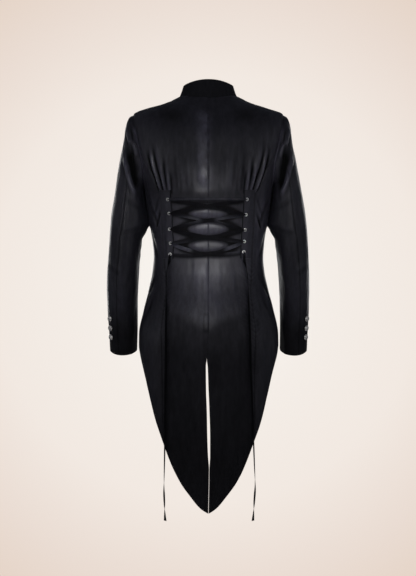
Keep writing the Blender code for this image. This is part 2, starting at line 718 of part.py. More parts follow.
def sleeve_grid(turns):
    """Rings of points down the left sleeve, from the armhole to the cuff."""
    turns = np.array(turns)
    radians = np.radians(turns)
    loop = armhole_points(turns)
    corner_turns = [0, 90, 180, 270]
    corners = armhole_points(corner_turns)
    stray = loop - four_point_ring(*corners, radians, SLEEVE_SQUARE)
    rings = [loop]
    for ring in SLEEVE:
        round_ring = four_point_ring(*sleeve_corners(ring), radians, SLEEVE_SQUARE)
        rings.append(round_ring + stray * ring.armhole_share)
    return np.array(rings)


def grid_normals(points):
    """Outward directions at the points of a closed tube of rings."""
    around = np.roll(points, -1, axis=1) - np.roll(points, 1, axis=1)
    down = np.empty_like(points)
    down[1:-1] = points[2:] - points[:-2]
    down[0] = points[1] - points[0]
    down[-1] = points[-1] - points[-2]
    normal = np.cross(around, down)
    normal = normal / np.linalg.norm(normal, axis=-1, keepdims=True)
    outward = points - points.mean(axis=1, keepdims=True)
    sign = np.sign(np.sum(normal * outward, axis=-1, keepdims=True))
    return normal * np.where(sign == 0, 1, sign)


def make_sleeve(label, side):
    """Top sleeve and under sleeve, which meet in a seam behind and a seam in front."""
    turns = armhole_turns()
    points = sleeve_grid(turns)
    normals = grid_normals(points)
    points[..., 0] *= side
    normals[..., 0] *= side
    count = len(turns)
    back_seam = BACK_ARMHOLE_STRIPS
    front_seam = BACK_ARMHOLE_STRIPS + SIDE_STRIPS + UNDER_SLEEVE_FRONT_STRIPS
    under = list(range(back_seam, front_seam + 1))
    over = [spot % count for spot in range(front_seam, count + back_seam + 1)]
    for name, spots in (("sleeve_top_" + label, over), ("sleeve_under_" + label, under)):
        cloth_wall(name, points[:, spots], normals[:, spots], CLOTH, CLOTH_FINISH,
                   ("bottom", "start", "end"))


def collar_grid(angles):
    """Rings of points up the stand collar."""
    rings = []
    for ring in COLLAR:
        sine = np.sin(angles)
        cosine = np.cos(angles)
        behind = cosine > 0
        lean = cosine ** 2
        reach = np.where(behind, ring.back, ring.front)
        height = np.where(behind, ring.back_height, ring.front_height)
        rings.append(np.stack([ring.side * sine, reach * cosine,
                               ring.side_height * (1 - lean) + height * lean], axis=-1))
    return np.array(rings)


def make_collar():
    """The stand collar, once round the neck, with its ends at the centre front."""
    end_angle = math.pi - COLLAR_END_ANGLE
    angles = np.linspace(end_angle, -end_angle, COLLAR_STRIPS + 1)
    points = collar_grid(angles)
    across = np.gradient(points, axis=1)
    up = np.gradient(points, axis=0)
    normals = np.cross(up, across)
    normals = normals / np.linalg.norm(normals, axis=-1, keepdims=True)
    outward = points * np.array([1.0, 1.0, 0.0])
    flip = np.sign(np.sum(normals * outward, axis=-1, keepdims=True))
    cloth_wall("collar", points, normals * flip, COLLAR_CLOTH, CLOTH_FINISH)


def eyelet_places(side):
    """Places across and levels of the eyelets on one side."""
    if side > 0:
        return [(row.left, row.left_level) for row in EYELETS]
    return [(row.right, row.right_level) for row in EYELETS]


def eyelet_line(side):
    """The place across of the line of eyelets, at any level."""
    places = eyelet_places(side)
    return SmoothCurve([level for _, level in places], [place for place, _ in places])


def off_body(place, level, lift):
    """A point that stands off the middle of the back's cloth, and the outward direction there."""
    angle = angle_at(place, level)
    normal = body_normal(angle, np.asarray(level, dtype=float))
    return body(angle, level) + normal * np.asarray(lift)[..., None], normal


def tab_lift(offset):
    """How far the tab stands off, by the distance from the line of eyelets towards the side."""
    outer = smooth_step(offset, TAB_SLOPE_START, TAB_SLOPE_END)
    inner = smooth_step(-offset, 0.0, TAB_INNER)
    return (TAB_EYELET_LIFT + (TAB_OUTER_LIFT - TAB_EYELET_LIFT) * outer
            + (TAB_INNER_LIFT - TAB_EYELET_LIFT) * inner)


def lathe(profile, segments):
    """Points and faces of a turned solid; profile rows are radius and height, poles at radius 0."""
    vertices = []
    rings = []
    for radius, height in profile:
        if radius == 0:
            rings.append([len(vertices)] * segments)
            vertices.append((0, 0, height))
            continue
        ring = []
        for step in range(segments):
            turn = 2 * math.pi * step / segments
            ring.append(len(vertices))
            vertices.append((radius * math.cos(turn), radius * math.sin(turn), height))
        rings.append(ring)
    faces = []
    pairs = list(zip(rings, rings[1:]))
    if profile[0][0] != 0:
        pairs.append((rings[-1], rings[0]))
    for lower, upper in pairs:
        for step in range(segments):
            after = (step + 1) % segments
            corners = [lower[step], lower[after], upper[after], upper[step]]
            face = [corner for spot, corner in enumerate(corners) if corner not in corners[:spot]]
            faces.append(tuple(face))
    return vertices, faces


def place_on(thing, point, normal, down=(0, 0, -1)):
    """Put an object at a point with its own Z along the normal."""
    up = Vector(normal).normalized()
    across = Vector(down).cross(up).normalized()
    along = up.cross(across)
    turn = Matrix((across, along, up)).transposed()
    thing.matrix_world = Matrix.Translation(Vector(point)) @ turn.to_4x4()


def eyelet_shape():
    """A barrel with a rounded flange on top."""
    crest = (EYELET_HOLE + EYELET_FLANGE) / 2
    profile = [(EYELET_HOLE, -EYELET_RIM), (EYELET_HOLE, EYELET_RIM), (crest, EYELET_CREST),
               (EYELET_FLANGE, EYELET_REACH), (EYELET_BARREL, EYELET_REACH), (EYELET_BARREL, -EYELET_RIM)]
    return lathe(profile, EYELET_SEGMENTS)


def make_tab(label, side):
    """The eyelet tab, with its outer edge on the seam and its inner edge free over the lace."""
    line = eyelet_line(side)
    levels = np.linspace(TAB_TOP_LEVEL, TAB_BOTTOM_LEVEL, TAB_ROWS + 1)
    offsets = np.array([-TAB_INNER] + TAB_COLUMNS)
    grid_levels, grid_offsets = np.meshgrid(levels, offsets, indexing="ij")
    places = line(grid_levels) + grid_offsets
    points, normals = off_body(side * places, grid_levels, tab_lift(grid_offsets))
    tab = cloth_wall("tab_" + label, points, normals, TAB_CLOTH, CLOTH_FINISH)
    profile = [(0, -CUTTER_REACH), (TAB_HOLE, -CUTTER_REACH), (TAB_HOLE, CUTTER_REACH), (0, CUTTER_REACH)]
    vertices, faces = lathe(profile, BUTTON_SEGMENTS)
    all_vertices = []
    all_faces = []
    for place, level in eyelet_places(side):
        centre, normal = eyelet_seat(side, place, level)
        stand = bpy.data.objects.new("stand", None)
        place_on(stand, centre, normal)
        shift = len(all_vertices)
        all_vertices += [tuple(stand.matrix_world @ Vector(vertex)) for vertex in vertices]
        all_faces += [tuple(index + shift for index in face) for face in faces]
        bpy.data.objects.remove(stand)
    cutter = add_mesh("tab_holes_" + label, all_vertices, all_faces, METAL_FINISH)
    face_outwards(cutter.data)
    cutter.hide_render = True
    cutter.display_type = "WIRE"
    cut = tab.modifiers.new("eyelet holes", "BOOLEAN")
    cut.operation = "DIFFERENCE"
    cut.solver = "EXACT"
    cut.object = cutter
    return tab


def eyelet_seat(side, place, level):
    """The middle of an eyelet and its axis."""
    centre, normal = off_body(np.array(side * place), np.array(level), TAB_EYELET_LIFT)
    return centre, normal


def make_eyelets(label, side, mesh):
    """The five eyelets of one tab."""
    for number, (place, level) in enumerate(eyelet_places(side), start=1):
        eyelet = bpy.data.objects.new(f"eyelet_{label}_{number}", mesh)
        bpy.context.scene.collection.objects.link(eyelet)
        centre, normal = eyelet_seat(side, place, level)
        place_on(eyelet, centre, normal)


def turned_mesh(name, vertices, faces, finish):
    """A mesh that several objects share."""
    mesh = bpy.data.meshes.new(name)
    mesh.from_pydata(vertices, [], faces)
    mesh.shade_smooth()
    mesh.set_sharp_from_angle(angle=math.radians(SHARP_DEGREES))
    face_outwards(mesh)
    mesh.materials.append(make_material(name, finish))
    return mesh


def button_shape():
    """A domed button with its shank, standing on its seat."""
    profile = [(0, 0.0), (SHANK_RADIUS, 0.0), (SHANK_RADIUS, SHANK_HEIGHT)]
    profile += [(BUTTON_RADIUS * share, height) for share, height in BUTTON_PROFILE]
    return lathe(profile, BUTTON_SEGMENTS)


def make_buttons(mesh):
    """Three buttons on each cuff and six down the front."""
    for label, side in (("left", 1), ("right", -1)):
        for number, height in enumerate(CUFF_BUTTON_HEIGHTS, start=1):
            seat, normal = sleeve_seat(height)
            seat[0] *= side
            normal[0] *= side
            put_button(f"cuff_button_{label}_{number}", mesh, seat, normal)
    for number, level in enumerate(FRONT_BUTTON_LEVELS, start=1):
        angle = np.array(FRONT_BUTTON_ANGLE)
        normal = body_normal(angle, np.array(level))
        seat = body(angle, level) + normal * (CLOTH / 2)
        put_button(f"front_button_{number}", mesh, seat, normal)


def sleeve_seat(height):
    """The outside of the left cuff at a height, on the button line, and the way it faces."""
    turns = CUFF_BUTTON_TURN + SEAT_TURN_STEP * np.array([-1, 0, 1])
    rings = sleeve_grid(turns)
    line = rings[:, 1]
    spot = int(np.searchsorted(-line[:, 2], -height))
    share = (height - line[spot - 1, 2]) / (line[spot, 2] - line[spot - 1, 2])
    seat = mix(line[spot - 1], line[spot], share)
    around = rings[spot, 2] - rings[spot, 0]
    down = line[spot] - line[spot - 1]
    normal = np.cross(around, down)
    normal = normal / np.linalg.norm(normal)
    if normal[0] < 0:
        normal = -normal
    return seat + normal * (CLOTH / 2), normal


def put_button(name, mesh, seat, normal):
    """One button, a hair above its seat."""
    button = bpy.data.objects.new(name, mesh)
    bpy.context.scene.collection.objects.link(button)
    place_on(button, seat + normal * AIR, normal)


# A step along the lace: place, direction of its width, width and thickness
RibbonStep = namedtuple("RibbonStep", "point across width thickness")

# The faces between two steps: corners 0 and 1 are above, 2 and 3 below, 4 to 7 on the next step
RIBBON_TRIANGLES = [(0, 1, 5), (0, 5, 4), (2, 3, 6), (3, 7, 6), (1, 2, 6), (1, 6, 5), (3, 0, 4), (3, 4, 7)]


def ribbon(name, steps, finish):
    """A closed flat ribbon through its steps; both faces split along the same diagonals."""
    points = np.array([step.point for step in steps])
    tangents = np.gradient(points, axis=0)
    vertices = []
    faces = []
    for step, tangent in zip(steps, tangents):
        tangent = tangent / np.linalg.norm(tangent)
        across = np.asarray(step.across, dtype=float)
        across = across - tangent * np.dot(across, tangent)
        across = across / np.linalg.norm(across)
        out = np.cross(tangent, across)
        for wide, thick in ((1, 1), (-1, 1), (-1, -1), (1, -1)):
            vertices.append(step.point + across * wide * step.width / 2 + out * thick * step.thickness / 2)
    last = 4 * (len(steps) - 1)
    for spot in range(len(steps) - 1):
        base = 4 * spot
        for corners in RIBBON_TRIANGLES:
            faces.append(tuple(base + corner for corner in corners))
    faces.append((3, 2, 1, 0))
    faces.append((last, last + 1, last + 2, last + 3))
    thing = add_mesh(name, vertices, faces, finish)
    face_outwards(thing.data)
    return thing


# The lace in an eyelet: distance towards the centre, height over the tab's middle, width, thickness
PassStep = namedtuple("PassStep", "inward height width thickness")
EYELET_PASS = [
    PassStep(0.0056, -0.0024, 0.0056, 0.0008),
    PassStep(0.0028, -0.0027, 0.0038, 0.0009),
    PassStep(0.0011, -0.0023, 0.0028, 0.0011),
    PassStep(0.0001, -0.0011, 0.0026, 0.0013),
    PassStep(0.0001, 0.0011, 0.0026, 0.0013),
    PassStep(0.0011, 0.0024, 0.0028, 0.0011),
    PassStep(0.0028, 0.0028, 0.0038, 0.0009),
    PassStep(0.0056, 0.0027, 0.0056, 0.0008),
]
LAST_PASS_STEPS = 5

# The lace between two eyelets: share of the way, height when it lies over and under the other strand
SpanStep = namedtuple("SpanStep", "share over under width")
LACE_SPAN = [
    SpanStep(0.055, 0.0072, 0.0072, 0.0078),
    SpanStep(0.095, 0.0066, 0.0066, 0.0092),
    SpanStep(0.150, 0.0053, 0.0053, 0.0095),
    SpanStep(0.220, 0.0041, 0.0038, 0.0095),
    SpanStep(0.310, 0.0036, 0.0026, 0.0095),
    SpanStep(0.410, 0.0038, 0.0022, 0.0095),
    SpanStep(0.500, 0.0039, 0.0022, 0.0095),
    SpanStep(0.590, 0.0037, 0.0022, 0.0095),
    SpanStep(0.690, 0.0028, 0.0022, 0.0095),
    SpanStep(0.780, 0.0022, 0.0022, 0.0095),
    SpanStep(0.850, 0.0022, 0.0022, 0.0095),
    SpanStep(0.905, 0.0022, 0.0022, 0.0088),
    SpanStep(0.945, 0.0020, 0.0020, 0.0074),
]

# The top bar: share of the way from right to left, and width
BarStep = namedtuple("BarStep", "share width")
TOP_BAR = [
    BarStep(0.06, 0.0074),
    BarStep(0.11, LACE_WIDTH),
    BarStep(0.20, LACE_WIDTH),
    BarStep(0.35, LACE_WIDTH),
    BarStep(0.50, LACE_WIDTH),
    BarStep(0.65, LACE_WIDTH),
    BarStep(0.80, LACE_WIDTH),
    BarStep(0.89, LACE_WIDTH),
    BarStep(0.94, 0.0074),
]
SPAN_LEAN = 0.25

# A free end from its eyelet to the tab's lower edge: drop below the eyelet, height, width, thickness
StartStep = namedtuple("StartStep", "drop height width thickness")
LACE_END_START = [
    StartStep(0.0000, 0.0014, 0.0026, 0.0013),
    StartStep(0.0006, 0.0026, 0.0030, 0.0011),
    StartStep(0.0030, 0.0034, 0.0044, 0.0009),
    StartStep(0.0070, 0.0034, 0.0062, LACE_THICKNESS),
]
TAB_EDGE_STEP = StartStep(0.0020, 0.0038, 0.0070, LACE_THICKNESS)


def pass_steps(side, row, steps):
    """The lace through one eyelet, from below the tab to above it."""
    place, level = eyelet_places(side)[row]
    centre, normal = eyelet_seat(side, place, level)
    down = np.array([0.0, 0.0, -1.0])
    down = down - normal * np.dot(down, normal)
    down = down / np.linalg.norm(down)
    inward = np.cross(normal, down)
    if inward[0] * side > 0:
        inward = -inward
    return [RibbonStep(centre + inward * step.inward + normal * step.height, down,
                       step.width, step.thickness) for step in steps]


def span_steps(side, row, over):
    """The lace from the top of one eyelet to under the next one on the other side."""
    start, start_level = eyelet_places(side)[row]
    end, end_level = eyelet_places(-side)[row + 1]
    crossing = EYELETS[row].crossing_level
    lean = [side, 0.0, SPAN_LEAN]
    steps = []
    for step in LACE_SPAN:
        place = mix(side * start, -side * end, step.share)
        bend = 4 * step.share * (1 - step.share)
        level = mix(start_level, end_level, step.share)
        level += (crossing - (start_level + end_level) / 2) * bend
        height = step.over if over else step.under
        point, normal = off_body(np.array(place), np.array(level), height)
        steps.append(RibbonStep(point, np.cross(normal, lean), step.width, LACE_THICKNESS))
    return steps


def half_lace(side):
    """The lace from the top eyelet of one side, down to its free end."""
    steps = pass_steps(side, 0, EYELET_PASS)
    for row in range(len(EYELETS) - 1):
        steps += span_steps(side, row, over=(row % 2 == 0) == (side > 0))
        side = -side
        last = row == len(EYELETS) - 2
        steps += pass_steps(side, row + 1, EYELET_PASS[:LAST_PASS_STEPS] if last else EYELET_PASS)
    return steps


def top_bar():
    """The straight bar of lace between the top eyelets, under the tabs, from right to left."""
    left, left_level = eyelet_places(1)[0]
    right, right_level = eyelet_places(-1)[0]
    steps = []
    for share, width in TOP_BAR:
        place = mix(-right, left, share)
        level = mix(right_level, left_level, share) - BAR_SAG * 4 * share * (1 - share)
        point, normal = off_body(np.array(place), np.array(level), BAR_LIFT)
        steps.append(RibbonStep(point, np.cross(normal, [1.0, 0.0, 0.0]), width, LACE_THICKNESS))
    return steps


def make_lace():
    """The lace that the eyelets hold, whole: left half, bar, right half."""
    left = half_lace(1)
    right = half_lace(-1)
    steps = list(reversed(right)) + top_bar() + left
    for spot in range(1, len(steps)):
        if np.dot(steps[spot].across, steps[spot - 1].across) < 0:
            steps[spot] = steps[spot]._replace(across=-np.asarray(steps[spot].across))
    ribbon("lace", steps, LACE_FINISH)


def lace_end_steps(side, table):
    """A free end, out of the lowest eyelet, down the tab and the coat, then straight down."""
    place, level = eyelet_places(side)[-1]
    centre, normal = eyelet_seat(side, place, level)
    down = np.array([0.0, 0.0, -1.0])
    across = np.cross(normal, down)
    edge_drop = level - TAB_BOTTOM_LEVEL + TAB_EDGE_STEP.drop
    steps = []
    for start in LACE_END_START + [TAB_EDGE_STEP._replace(drop=edge_drop)]:
        point = centre + normal * start.height + down * start.drop
        steps.append(RibbonStep(point, across, start.width, start.thickness))
    places = table_curve(table, "level", "place")
    turns = table_curve(table, "level", "turn")
    widths = table_curve(table, "level", "width")
    top = table[0].level
    bottom = table[-1].level
    for level in np.linspace(top, bottom, round((top - bottom) / LACE_STEP) + 1):
        held = np.maximum(level, LACE_FREE_LEVEL)
        turn = math.radians(float(turns(level)))
        width = float(widths(level))
        standoff = LACE_CLEARANCE + width / 2 * abs(math.sin(turn))
        point, out = off_body(side * places(level), held, standoff)
        point = np.array([point[0], point[1], level])
        flat = np.cross(out, down)
        flat = flat / np.linalg.norm(flat)
        width_way = flat * math.cos(turn) + out * math.sin(turn)
        steps.append(RibbonStep(point, width_way, width, LACE_THICKNESS))
    return steps


def make_part():
    """Every piece of the coat."""
    clear_scene()
    for label, side in (("left", 1), ("right", -1)):
        make_back("back_" + label, side)
        make_side_back("side_back_" + label, side)
        make_front("front_" + label, side)
        make_sleeve(label, side)
        make_tab(label, side)
    make_collar()
    eyelet = turned_mesh("eyelet", *eyelet_shape(), METAL_FINISH)
    make_eyelets("left", 1, eyelet)
    make_eyelets("right", -1, eyelet)
    make_buttons(turned_mesh("button", *button_shape(), METAL_FINISH))
    make_lace()
    ribbon("lace_end_left", lace_end_steps(1, LEFT_LACE_END), LACE_FINISH)
    ribbon("lace_end_right", lace_end_steps(-1, RIGHT_LACE_END), LACE_FINISH)


make_part()
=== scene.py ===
"""The looks of a black tailcoat with a laced back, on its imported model.

Metres, +Z up.  The coat faces -Y and is seen from behind.  The origin is the middle of the neck base.
Angles go round the body from the centre back: 0 behind, +90 at the +X side, 180 at the centre front.
A level is the height of a ring of the body where it crosses the side of the coat.
"""
import math
from collections import namedtuple

import bmesh
import bpy
import numpy as np
from mathutils import Matrix, Vector


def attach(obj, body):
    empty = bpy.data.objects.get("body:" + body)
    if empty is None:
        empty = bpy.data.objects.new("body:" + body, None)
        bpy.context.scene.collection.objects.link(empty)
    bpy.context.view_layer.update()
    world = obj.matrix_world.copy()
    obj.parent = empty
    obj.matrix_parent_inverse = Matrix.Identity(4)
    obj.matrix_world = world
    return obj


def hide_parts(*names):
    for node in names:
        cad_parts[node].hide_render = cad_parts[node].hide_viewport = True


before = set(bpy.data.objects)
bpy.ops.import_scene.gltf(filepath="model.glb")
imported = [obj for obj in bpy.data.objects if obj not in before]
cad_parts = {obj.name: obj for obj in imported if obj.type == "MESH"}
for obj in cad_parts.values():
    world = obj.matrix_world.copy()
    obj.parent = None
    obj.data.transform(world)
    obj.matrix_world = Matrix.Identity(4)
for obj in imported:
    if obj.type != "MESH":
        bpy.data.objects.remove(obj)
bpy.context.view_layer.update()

BODY_NAME = "root"

# The camera: level, behind the coat
CAMERA_PLACE = (0.001, 3.1, -0.506)
SENSOR_WIDTH = 36
PICTURE_HEIGHT = 1.526

# Sizes of the cloth and trimmings
CLOTH = 0.0012
TAB_CLOTH = 0.0016
COLLAR_CLOTH = 0.0020
SEAM_GAP = -0.0003
SEAM_GLINT = 1.8
RIM_ROUNDING = 0.25
AIR = 0.0003
FRONT_LAP = 0.012
LAP_START = 0.040
LACE_WIDTH = 0.0095
LACE_THICKNESS = 0.0008

# Rings of the body: half width, reach behind and in front, heights behind and in front, squareness
BodyRing = namedtuple("BodyRing", "level half_width back front back_height front_height square")
BODY = [
    BodyRing(0.000, 0.0745, 0.056, 0.060, -0.008, -0.072, 2.00),
    BodyRing(-0.014, 0.1045, 0.068, 0.073, -0.030, -0.090, 2.10),
    BodyRing(-0.030, 0.1510, 0.083, 0.086, -0.058, -0.112, 2.25),
    BodyRing(-0.049, 0.1970, 0.096, 0.099, -0.088, -0.136, 2.40),
    BodyRing(-0.080, 0.2030, 0.102, 0.108, -0.112, -0.152, 2.50),
    BodyRing(-0.120, 0.2000, 0.106, 0.116, -0.138, -0.170, 2.50),
    BodyRing(-0.165, 0.1900, 0.108, 0.123, -0.171, -0.194, 2.45),
    BodyRing(-0.205, 0.1785, 0.108, 0.126, -0.206, -0.216, 2.40),
    BodyRing(-0.243, 0.1690, 0.105, 0.126, -0.243, -0.243, 2.35),
    BodyRing(-0.300, 0.1600, 0.098, 0.119, -0.300, -0.300, 2.30),
    BodyRing(-0.345, 0.1530, 0.090, 0.108, -0.345, -0.345, 2.30),
    BodyRing(-0.389, 0.1461, 0.083, 0.099, -0.389, -0.389, 2.30),
    BodyRing(-0.425, 0.1438, 0.080, 0.096, -0.425, -0.425, 2.30),
    BodyRing(-0.465, 0.1475, 0.083, 0.098, -0.465, -0.465, 2.30),
    BodyRing(-0.501, 0.1545, 0.090, 0.103, -0.501, -0.501, 2.30),
    BodyRing(-0.564, 0.1705, 0.107, 0.112, -0.564, -0.564, 2.30),
    BodyRing(-0.628, 0.1835, 0.120, 0.118, -0.628, -0.628, 2.30),
    BodyRing(-0.670, 0.1840, 0.125, 0.120, -0.670, -0.670, 2.30),
    BodyRing(-0.750, 0.1840, 0.128, 0.121, -0.750, -0.750, 2.30),
    BodyRing(-1.090, 0.1840, 0.128, 0.121, -1.090, -1.090, 2.30),
]
HIP_LEVEL = -0.640

# The armhole: turn round the arm from the shoulder, over the back, under the arm and up the front
ArmholeSpot = namedtuple("ArmholeSpot", "turn angle level")
ARMHOLE = [
    ArmholeSpot(0, 90.0, -0.049),
    ArmholeSpot(20, 76.0, -0.060),
    ArmholeSpot(40, 69.5, -0.082),
    ArmholeSpot(58, 65.5, -0.108),
    ArmholeSpot(75, 64.0, -0.138),
    ArmholeSpot(98, 65.0, -0.172),
    ArmholeSpot(122, 70.0, -0.203),
    ArmholeSpot(150, 79.0, -0.229),
    ArmholeSpot(180, 92.0, -0.243),
    ArmholeSpot(210, 104.0, -0.232),
    ArmholeSpot(235, 112.0, -0.205),
    ArmholeSpot(262, 116.5, -0.168),
    ArmholeSpot(288, 115.5, -0.130),
    ArmholeSpot(312, 111.0, -0.096),
    ArmholeSpot(336, 103.0, -0.066),
    ArmholeSpot(360, 90.0, -0.049),
]
BACK_SEAM_TURN = 75
UNDERARM_TURN = 180
FRONT_SEAM_TURN = 225
UNDERARM_ANGLE = 92.0
UNDERARM_LEVEL = -0.243

# The seam between back and side back: distance from the centre line
SeamSpot = namedtuple("SeamSpot", "level distance")
PRINCESS_SEAM = [
    SeamSpot(-0.177, 0.163),
    SeamSpot(-0.205, 0.147),
    SeamSpot(-0.239, 0.130),
    SeamSpot(-0.262, 0.121),
    SeamSpot(-0.344, 0.118),
    SeamSpot(-0.424, 0.114),
    SeamSpot(-0.537, 0.1115),
    SeamSpot(-1.090, 0.1110),
]

# The edge of the coat, from the centre front round the hips to the point of the tails
HemSpot = namedtuple("HemSpot", "level angle")
HEM = [
    HemSpot(-0.490, 184.5),
    HemSpot(-0.500, 150.0),
    HemSpot(-0.532, 125.0),
    HemSpot(-0.585, 105.0),
    HemSpot(-0.628, 95.0),
    HemSpot(-0.648, 89.0),
    HemSpot(-0.665, 79.0),
    HemSpot(-0.690, 70.2),
    HemSpot(-0.7345, 60.9),
    HemSpot(-0.794, 51.5),
    HemSpot(-0.854, 42.9),
    HemSpot(-0.883, 38.7),
    HemSpot(-0.944, 29.8),
    HemSpot(-0.974, 24.8),
    HemSpot(-1.005, 18.9),
    HemSpot(-1.035, 11.9),
    HemSpot(-1.066, 4.6),
    HemSpot(-1.081, -0.5),
]

# The vent between the tails: the places across of the left and the right tail's inner edge
VentSpot = namedtuple("VentSpot", "level left right")
VENT = [
    VentSpot(-0.100, 0.0001, -0.0001),
    VentSpot(-0.600, 0.0004, 0.0002),
    VentSpot(-0.688, 0.0045, 0.0038),
    VentSpot(-0.705, 0.0064, 0.0018),
    VentSpot(-0.760, 0.0060, -0.0002),
    VentSpot(-0.820, 0.0040, -0.0028),
    VentSpot(-0.890, 0.0026, -0.0045),
    VentSpot(-0.935, 0.0008, -0.0044),
    VentSpot(-0.965, -0.0014, -0.0026),
    VentSpot(-1.000, -0.0010, -0.0022),
    VentSpot(-1.081, 0.0006, -0.0006),
]

# Rings of the collar: reach and height at the back, the side and the front
CollarRing = namedtuple("CollarRing", "back back_height side side_height front front_height")
COLLAR = [
    CollarRing(0.0555, -0.0065, 0.0740, 0.0016, 0.0595, -0.0700),
    CollarRing(0.0535, 0.0100, 0.0705, 0.0100, 0.0570, -0.0580),
    CollarRing(0.0520, 0.0250, 0.0675, 0.0190, 0.0545, -0.0460),
    CollarRing(0.0510, 0.0385, 0.0650, 0.0275, 0.0525, -0.0350),
]

# Rings of the sleeve below the armhole, on the +X side: four points of each, and the armhole's share
SleeveRing = namedtuple("SleeveRing", "outer outer_height inner inner_height "
                                      "back back_height front front_height armhole_share")
SLEEVE = [
    SleeveRing(0.2065, -0.0555, 0.1712, -0.2460, 0.0625, -0.150, -0.0670, -0.155, 0.75),
    SleeveRing(0.2125, -0.0680, 0.1716, -0.2510, 0.0640, -0.156, -0.0700, -0.162, 0.50),
    SleeveRing(0.2172, -0.0870, 0.1712, -0.2600, 0.0650, -0.168, -0.0720, -0.175, 0.25),
    SleeveRing(0.2218, -0.1190, 0.1702, -0.2740, 0.0660, -0.190, -0.0730, -0.197, 0.10),
    SleeveRing(0.2300, -0.1580, 0.1680, -0.2900, 0.0665, -0.222, -0.0730, -0.228, 0.0),
    SleeveRing(0.2395, -0.2080, 0.1650, -0.3060, 0.0670, -0.256, -0.0710, -0.262, 0.0),
    SleeveRing(0.2490, -0.2640, 0.1612, -0.3230, 0.0670, -0.293, -0.0680, -0.297, 0.0),
    SleeveRing(0.2562, -0.3090, 0.1590, -0.3370, 0.0670, -0.323, -0.0650, -0.325, 0.0),
    SleeveRing(0.2600, -0.3480, 0.1630, -0.3520, 0.0670, -0.350, -0.0630, -0.351, 0.0),
    SleeveRing(0.2622, -0.3780, 0.1745, -0.3760, 0.0665, -0.378, -0.0625, -0.376, 0.0),
    SleeveRing(0.2640, -0.4080, 0.1780, -0.4060, 0.0650, -0.410, -0.0630, -0.403, 0.0),
    SleeveRing(0.2655, -0.4370, 0.1826, -0.4350, 0.0620, -0.441, -0.0645, -0.430, 0.0),
    SleeveRing(0.2669, -0.4690, 0.1858, -0.4680, 0.0580, -0.475, -0.0670, -0.461, 0.0),
    SleeveRing(0.2673, -0.5050, 0.1881, -0.5040, 0.0520, -0.512, -0.0705, -0.495, 0.0),
    SleeveRing(0.2672, -0.5450, 0.1898, -0.5440, 0.0440, -0.553, -0.0755, -0.534, 0.0),
    SleeveRing(0.2665, -0.5860, 0.1906, -0.5850, 0.0355, -0.596, -0.0810, -0.574, 0.0),
    SleeveRing(0.2640, -0.6280, 0.1909, -0.6270, 0.0265, -0.640, -0.0865, -0.615, 0.0),
    SleeveRing(0.2618, -0.6690, 0.1911, -0.6690, 0.0180, -0.684, -0.0920, -0.655, 0.0),
]
SLEEVE_SQUARE = 2.1

# The rows of eyelets: height and place across on each side, and where the lace crosses below
EyeletRow = namedtuple("EyeletRow", "left left_level right right_level crossing_level")
EYELETS = [
    EyeletRow(0.1028, -0.2774, 0.0977, -0.2774, -0.2960),
    EyeletRow(0.0995, -0.3130, 0.0953, -0.3165, -0.3320),
    EyeletRow(0.0984, -0.3530, 0.0930, -0.3550, -0.3750),
    EyeletRow(0.0961, -0.3896, 0.0910, -0.3850, -0.4180),
    EyeletRow(0.0971, -0.4183, 0.0900, -0.4120, None),
]
BAR_SAG = 0.0015
BAR_LIFT = 0.0021

# The eyelet tabs, measured from the line of the eyelets
TAB_TOP_LEVEL = -0.2535
TAB_BOTTOM_LEVEL = -0.4300
TAB_INNER = 0.0085
TAB_OUTER = 0.0205
TAB_INNER_LIFT = 0.0050
TAB_EYELET_LIFT = 0.0044
TAB_OUTER_LIFT = 0.0017
TAB_SLOPE_START = 0.25 * TAB_OUTER
TAB_SLOPE_END = 0.9 * TAB_OUTER

# Large soft folds: lines down the body, their half width and how far they stand out
Fold = namedtuple("Fold", "top_angle top_level bottom_angle bottom_level width height")
FOLDS = [
    Fold(20, -0.62, 12, -1.03, 0.020, 0.0040),
    Fold(33, -0.59, 22, -0.96, 0.018, -0.0035),
    Fold(50, -0.57, 40, -0.84, 0.022, 0.0040),
    Fold(70, -0.53, 66, -0.68, 0.020, 0.0030),
    Fold(-17, -0.60, -11, -1.00, 0.018, 0.0035),
    Fold(-31, -0.62, -24, -0.92, 0.020, -0.0035),
    Fold(-46, -0.56, -38, -0.86, 0.020, 0.0045),
    Fold(-68, -0.52, -64, -0.69, 0.022, 0.0030),
    Fold(118, -0.30, 128, -0.50, 0.020, 0.0030),
    Fold(146, -0.33, 150, -0.48, 0.018, -0.0025),
    Fold(-120, -0.29, -126, -0.50, 0.020, 0.0030),
    Fold(-144, -0.34, -149, -0.47, 0.018, -0.0025),
]
FOLD_RISE = 0.35
FOLD_FADE_START = 0.85
FOLD_FADE_END = 1.3
BULGE_HEIGHT = 0.0020
BULGE_REACH = 0.086

# Puffs of cloth between the crossings, on top of the bulges: half width, share of the gap and height
PUFF_WIDTH = 0.054
PUFF_SHARE = 0.45
PUFF_HEIGHT = 0.0044
PUFF_TOP = 0.60
# Painted highlight on each of the three puffs, and how dark the painted shade round them is
PUFF_HIGHLIGHT = [0.7, 0.7, 0.15]
PUFF_SHADE = 0.93
PUFF_EDGE = 1.05
LAST_BULGE_LEVEL = -0.424

BULGE_TOP_LEVEL = -0.279
BULGE_BOTTOM_LEVEL = -0.440
BULGE_BOTTOM_EDGE = 0.010
BULGE_TOP_EDGE = 0.004
BULGE_FULL_SHARE = 0.4

